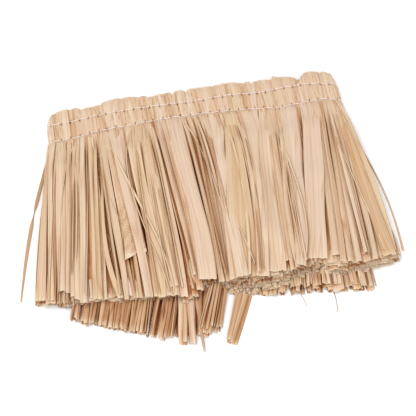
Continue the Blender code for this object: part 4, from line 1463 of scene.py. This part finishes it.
class Nodes:
    """Short ways to wire a material's nodes."""

    def __init__(self, name: str) -> None:
        """Make a material with a Principled shader.

        Args:
            name: Name of the material.
        """
        self.material = bpy.data.materials.new(name)
        self.material.use_nodes = True
        self.tree = self.material.node_tree
        self.shader = self.tree.nodes["Principled BSDF"]

    def add(self, kind: str, **inputs: object) -> bpy.types.Node:
        """Add a node.

        Args:
            kind: Blender's name of the node's type.
            inputs: For each input's name, a socket to link or a value to set.

        Returns:
            The new node.
        """
        node = self.tree.nodes.new(kind)
        for name, value in inputs.items():
            self.put(node.inputs[name.replace("_", " ")], value)
        return node

    def put(self, socket: bpy.types.NodeSocket, value: object) -> None:
        """Link or set one input.

        Args:
            socket: The input.
            value: A socket to link, or a value to set.
        """
        if isinstance(value, bpy.types.NodeSocket):
            self.tree.links.new(value, socket)
        elif isinstance(value, tuple) and socket.type == "RGBA":
            socket.default_value = (*value, 1.0)
        else:
            socket.default_value = value

    def attribute(self, name: str) -> bpy.types.NodeSocket:
        """Read a mesh attribute.

        Args:
            name: Name of the attribute.

        Returns:
            Its vector.
        """
        node = self.tree.nodes.new("ShaderNodeAttribute")
        node.attribute_name = name
        return node.outputs["Vector"]

    def maths(self, operation: str, first: object, second: object) -> bpy.types.NodeSocket:
        """One sum, product or the like of two numbers.

        Args:
            operation: Blender's name of it.
            first: First number.
            second: Second number.

        Returns:
            The result.
        """
        node = self.tree.nodes.new("ShaderNodeMath")
        node.operation = operation
        self.put(node.inputs[0], first)
        self.put(node.inputs[1], second)
        return node.outputs["Value"]

    def stretched(self, vector: bpy.types.NodeSocket, across: float, along: float,
                  detail: float) -> bpy.types.NodeSocket:
        """Noise over the grain.

        Args:
            vector: The grain.
            across: Turns of the noise to a millimetre across it.
            along: The same along it.
            detail: Levels of finer noise.

        Returns:
            The noise, from 0 to 1.
        """
        mapping = self.add("ShaderNodeMapping", Vector=vector, Scale=(across, along, 1.0))
        noise = self.add("ShaderNodeTexNoise", Vector=mapping.outputs["Vector"], Scale=1.0,
                         Detail=detail, Roughness=0.6)
        return noise.outputs["Fac"]

    def splits(self, grain: bpy.types.NodeSocket, across: float, along: float) -> bpy.types.NodeSocket:
        """Distance to the nearest of the lines between long slivers.

        Args:
            grain: The grain.
            across: Slivers to a millimetre across it.
            along: The same along it.

        Returns:
            The distance, in slivers.
        """
        scaled = self.add("ShaderNodeMapping", Vector=grain, Scale=(across, along, 1.0))
        parts = self.add("ShaderNodeSeparateXYZ", Vector=scaled.outputs["Vector"])
        moved = self.add("ShaderNodeCombineXYZ", X=self.maths("ADD", parts.outputs["X"], parts.outputs["Z"]),
                         Y=self.maths("ADD", parts.outputs["Y"], parts.outputs["Z"]))
        cells = self.add("ShaderNodeTexVoronoi", Vector=moved.outputs["Vector"], Scale=1.0)
        cells.voronoi_dimensions = "2D"
        cells.feature = "DISTANCE_TO_EDGE"
        return cells.outputs["Distance"]

    def mixed(self, blend: str, factor: object, first: object, second: object) -> bpy.types.NodeSocket:
        """Blend two colours.

        Args:
            blend: Blender's name of the blend.
            factor: How much of it.
            first: First colour.
            second: Second colour.

        Returns:
            The blended colour.
        """
        node = self.tree.nodes.new("ShaderNodeMix")
        node.data_type = "RGBA"
        node.blend_type = blend
        self.put(node.inputs[0], factor)
        self.put(node.inputs[6], first)
        self.put(node.inputs[7], second)
        return node.outputs[2]

    def ranged(self, value: object, low: float, high: float, first: float,
               last: float) -> bpy.types.NodeSocket:
        """A number taken from one range to another, and kept inside it.

        Args:
            value: The number.
            low: Start of its range.
            high: End of its range.
            first: Start of the new range.
            last: End of the new range.

        Returns:
            The new number.
        """
        node = self.tree.nodes.new("ShaderNodeMapRange")
        for index, item in enumerate((value, low, high, first, last)):
            self.put(node.inputs[index], item)
        return node.outputs["Result"]


@dataclass(frozen=True)
class RaffiaFinish:
    """Dry raffia: straw to pinkish tan, with fine lengthwise grain, painted shade lines at a strip's sides
    and a painted highlight beside its left edge.
    """
    name: str
    straw: tuple[float, float, float] = (0.65, 0.505, 0.335)
    pale: tuple[float, float, float] = (0.65, 0.505, 0.372)
    pink: tuple[float, float, float] = (0.645, 0.488, 0.382)
    # Pale colour of the painted highlight beside the left edge and of the paler cut end
    highlight_and_cut_end: tuple[float, float, float] = (0.74, 0.61, 0.44)
    streak: float = 0.06
    facet: float = 0.05
    split: float = 0.12
    left_edge_shade: float = 0.16
    right_edge_shade: float = 0.32
    roughness: float = 0.6
    gloss: float = 0.25
    fibre: tuple[float, float, float] = (2.2, 0.02, 3.0)
    band: tuple[float, float, float] = (0.42, 0.004, 2.0)
    patch: tuple[float, float, float] = (0.10, 0.014, 2.0)
    sliver: tuple[float, float] = (0.20, 0.005)
    bump: float = 0.0005

    def build(self) -> bpy.types.Material:
        """Make the material from the grain, look and edge attributes.

        The hue is the strip's, with patches. The tone is the strip's, times fine streaks, broad
        facets, lines between slivers and a darker line at each side, painted shade where a strip
        meets its neighbour. Green takes its square and blue its cube, so that shade turns brown. A
        painted highlight lies along the crest beside the left edge, and the cut end is paler.

        Returns:
            The material.
        """
        nodes = Nodes(self.name)
        shader = nodes.shader
        shader.inputs["Roughness"].default_value = self.roughness
        shader.inputs["Specular IOR Level"].default_value = self.gloss
        grain = nodes.attribute("grain")
        look = nodes.add("ShaderNodeSeparateXYZ", Vector=nodes.attribute("look"))
        fibres = nodes.stretched(grain, *self.fibre)
        patches = nodes.stretched(grain, *self.patch)
        ramp = nodes.tree.nodes.new("ShaderNodeValToRGB")
        ramp.color_ramp.elements[0].color = (*self.straw, 1.0)
        ramp.color_ramp.elements[1].color = (*self.pink, 1.0)
        ramp.color_ramp.elements.new(0.5).color = (*self.pale, 1.0)
        drift = nodes.maths("ADD", look.outputs["X"], nodes.ranged(patches, 0.3, 0.7, -0.3, 0.3))
        nodes.put(ramp.inputs["Fac"], drift)
        bands = nodes.stretched(grain, *self.band)
        streaks = nodes.ranged(fibres, 0.32, 0.68, 1.0 - self.streak, 1.0 + 0.3 * self.streak)
        facets = nodes.ranged(bands, 0.35, 0.62, 1.0 - self.facet, 1.0 + 0.3 * self.facet)
        splits = nodes.ranged(nodes.splits(grain, *self.sliver), 0.0, 0.08, 1.0 - self.split, 1.0)
        edge = nodes.add("ShaderNodeSeparateXYZ", Vector=nodes.attribute("edge")).outputs
        # Painted shade: a darker line along each side, stronger on the right
        left = nodes.ranged(edge["X"], 0.1, 0.5, 1.0 - self.left_edge_shade, 1.0)
        right = nodes.ranged(edge["Y"], 0.1, 0.7, 1.0 - self.right_edge_shade, 1.0)
        tone = look.outputs["Z"]
        for factor in (splits, streaks, facets, left, right):
            tone = nodes.maths("MULTIPLY", tone, factor)
        squared = nodes.maths("MULTIPLY", tone, tone)
        absorbed = nodes.add("ShaderNodeCombineColor", Red=tone, Green=squared,
                             Blue=nodes.maths("MULTIPLY", squared, tone))
        # Painted highlight on the crest beside the left edge; the cut end is paler too
        crest = nodes.maths("MULTIPLY", nodes.ranged(edge["X"], 0.3, 0.6, 0.0, 0.5),
                            nodes.ranged(edge["X"], 0.7, 1.6, 1.0, 0.0))
        cut = nodes.ranged(edge["Z"], 0.0, 2.5, 0.5, 0.0)
        highlight_and_cut_end = nodes.maths("MAXIMUM", crest, cut)
        raffia = nodes.mixed("MIX", highlight_and_cut_end, ramp.outputs["Color"], self.highlight_and_cut_end)
        body = nodes.mixed("MULTIPLY", 1.0, raffia, absorbed.outputs["Color"])
        nodes.put(shader.inputs["Base Color"], body)
        bump = nodes.add("ShaderNodeBump", Strength=0.4, Distance=self.bump, Height=fibres)
        nodes.put(shader.inputs["Normal"], bump.outputs["Normal"])
        return nodes.material


@dataclass(frozen=True)
class ThreadFinish:
    """Twisted cotton thread, off-white with a pink cast."""
    name: str = "cotton_thread"
    colour: tuple[float, float, float] = (0.86, 0.78, 0.73)
    roughness: float = 0.8
    sheen: float = 0.25
    bump: float = 0.0002

    def build(self) -> bpy.types.Material:
        """Make the material, with the thread's ply as a fine slanting wave.

        Returns:
            The material.
        """
        nodes = Nodes(self.name)
        shader = nodes.shader
        shader.inputs["Roughness"].default_value = self.roughness
        shader.inputs["Sheen Weight"].default_value = self.sheen
        turned = nodes.add("ShaderNodeMapping", Vector=nodes.attribute("grain"), Scale=(0.32, 1.0, 1.0))
        wave = nodes.add("ShaderNodeTexWave", Vector=turned.outputs["Vector"], Scale=0.5)
        wave.bands_direction = "DIAGONAL"
        dark = tuple(0.88 * value for value in self.colour)
        nodes.put(shader.inputs["Base Color"], nodes.mixed("MIX", wave.outputs["Fac"], dark, self.colour))
        bump = nodes.add("ShaderNodeBump", Strength=0.5, Distance=self.bump, Height=wave.outputs["Fac"])
        nodes.put(shader.inputs["Normal"], bump.outputs["Normal"])
        return nodes.material


@dataclass(frozen=True)
class FloorFinish:
    """Plain white paper."""
    name: str = "white_floor"
    colour: tuple[float, float, float] = (0.95, 0.95, 0.95)
    roughness: float = 0.9

    def build(self) -> bpy.types.Material:
        """Make the material.

        Returns:
            The material.
        """
        nodes = Nodes(self.name)
        nodes.shader.inputs["Base Color"].default_value = (*self.colour, 1.0)
        nodes.shader.inputs["Roughness"].default_value = self.roughness
        nodes.shader.inputs["Specular IOR Level"].default_value = 0.0
        return nodes.material


@dataclass(frozen=True)
class Studio:
    """The pale floor, the soft lights and the camera, in metres, degrees and watts."""
    azimuth: float = -9.8
    elevation: float = 60.0
    distance: float = 1.6
    view_width: float = 0.540
    target: tuple[float, float, float] = (-0.008, 0.0, 0.012)
    sensor: float = 36.0
    floor_size: float = 12.0
    world: float = 0.64
    key_power: float = 36.0
    key_size: float = 1.3
    key_place: tuple[float, float, float] = (-0.9, 0.1, 2.4)
    fill_power: float = 30.0
    fill_size: float = 1.6
    fill_place: tuple[float, float, float] = (0.3, -2.0, 1.2)

    def build(self) -> None:
        """Make them all."""
        self._camera()
        self._light("key_light", self.key_place, self.key_power, self.key_size)
        self._light("fill_light", self.fill_place, self.fill_power, self.fill_size)
        world = bpy.data.worlds.new("studio")
        world.use_nodes = True
        background = world.node_tree.nodes["Background"]
        background.inputs["Color"].default_value = (1.0, 1.0, 1.0, 1.0)
        background.inputs["Strength"].default_value = self.world
        bpy.context.scene.world = world
        bpy.context.scene.view_settings.view_transform = "Standard"
        self._floor()

    def _camera(self) -> None:
        """A camera that looks down at the skirt from the hem's side, turned a little."""
        turn, rise = math.radians(self.azimuth), math.radians(self.elevation)
        ahead = Vector((-math.sin(turn) * math.cos(rise), math.cos(turn) * math.cos(rise), -math.sin(rise)))
        data = bpy.data.cameras.new("camera")
        data.sensor_width = self.sensor
        data.lens = self.sensor * self.distance / self.view_width
        camera = bpy.data.objects.new("camera", data)
        camera.location = Vector(self.target) - ahead * self.distance
        camera.rotation_euler = ahead.to_track_quat("-Z", "Y").to_euler()
        bpy.context.scene.collection.objects.link(camera)
        bpy.context.scene.camera = camera

    def _light(self, name: str, place: tuple[float, float, float], power: float, size: float) -> None:
        """Add a square area light aimed at the skirt.

        Args:
            name: Name of the light.
            place: Where it stands.
            power: Its power.
            size: Length of its side.
        """
        data = bpy.data.lights.new(name, "AREA")
        data.energy = power
        data.size = size
        light = bpy.data.objects.new(name, data)
        light.location = place
        light.rotation_euler = (-Vector(place)).to_track_quat("-Z", "Y").to_euler()
        bpy.context.scene.collection.objects.link(light)

    def _floor(self) -> None:
        """A white floor under the skirt."""
        side = self.floor_size / 2.0
        mesh = bpy.data.meshes.new("floor")
        corners = ((-side, -side, 0.0), (side, -side, 0.0), (side, side, 0.0), (-side, side, 0.0))
        mesh.from_pydata(corners, [], [(0, 1, 2, 3)])
        mesh.materials.append(FloorFinish().build())
        floor = bpy.data.objects.new("floor", mesh)
        bpy.context.scene.collection.objects.link(floor)


def dress(piece: bpy.types.Object, slot: str, *nodes: str) -> bpy.types.Object:
    """Ride a piece on the skirt's body, and hide the solids that it stands for.

    Args:
        piece: The piece.
        slot: Not used.
        nodes: Names of the solids.

    Returns:
        The same piece.
    """
    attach(piece, "root")
    if nodes:
        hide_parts(*nodes)
    return piece


def main() -> None:
    """Build every piece of the skirt and the studio."""
    logging.basicConfig(level=logging.INFO, format="%(name)s %(message)s")
    Studio().build()
    raffia = RaffiaFinish("raffia").build()
    band = RaffiaFinish("raffia_heading", streak=0.05, split=0.08).build()
    thread = ThreadFinish().build()
    back = BackFringe(Heap())
    # Low tones of the back layers: painted shade under the front panel
    back_lower = back.layer("back_fringe_lower", BACK_LOWER, low=0.02, tone=0.74, seed=51)
    back_upper = back.layer("back_fringe_upper", BACK_UPPER, low=0.16, tone=0.81, seed=61)
    level = back.heap.levelled(1)
    # Painted shade: deepen lowers the tone of what lies under its surroundings
    lower, upper = (cloth.deepen(level, 0.06).finish(raffia) for cloth in (back_lower, back_upper))
    inner = InnerStrands().build().finish(raffia)
    front = FrontFringe(Heap())
    # Low tones of the hidden front layers: painted shade, deepest for the lower one
    cloths = [front.cut_ends(), front.sides(),
              front.hidden("front_fringe_under", low=0.64, longer=0.6, width=8.0, tone=0.74, seed=71),
              front.hidden("front_fringe_mid", low=0.81, longer=0.35, width=6.5, tone=0.9, seed=81),
              front.top(), front.fibres()]
    level = front.heap.levelled(1)
    # Painted shade under the surroundings, at each piece's rate
    ends, sides, under, middle, top, fibres = (
        cloth.deepen(level, rate).finish(raffia)
        for cloth, rate in zip(cloths, (0.0, 0.03, 0.06, 0.07, 0.03, 0.0)))
    strays = front.strays().finish(raffia)
    heading = Heading()
    outer_cloth, outer = heading.shell("waistband", (0.0, 0.17), depth_scale=1.0, drop=0.0, rows=9, hue=0.52)
    waistband = outer_cloth.finish(band, crease=50.0)
    ruffles = (("heading_ruffle_1", (0.30, 0.50), 1.5, 0.4), ("heading_ruffle_2", (0.64, 1.0), 2.5, 0.6))
    shells = [heading.shell(name, levels, depth_scale=0.6, drop=drop, rows=5, hue=hue)[0]
              for name, levels, drop, hue in ruffles]
    rings = [shell.finish(band, crease=50.0) for shell in shells]
    stitching = heading.stitching(outer).finish(thread, crease=60.0)
    dress(lower, "raffia_back", "fringe_back_lower")
    dress(upper, "raffia_back", "fringe_back_upper")
    dress(inner, "raffia_under", "under_layers")
    dress(under, "raffia_front", "fringe_front_under")
    dress(middle, "raffia_front", "fringe_front_mid")
    dress(top, "raffia_front", "fringe_front_top")
    for piece in (ends, sides, fibres, strays):
        dress(piece, "raffia_front")
    dress(waistband, "heading", "waistband")
    for ruffle in rings:
        dress(ruffle, "heading")
    dress(stitching, "heading")


if __name__ == "__main__":
    main()
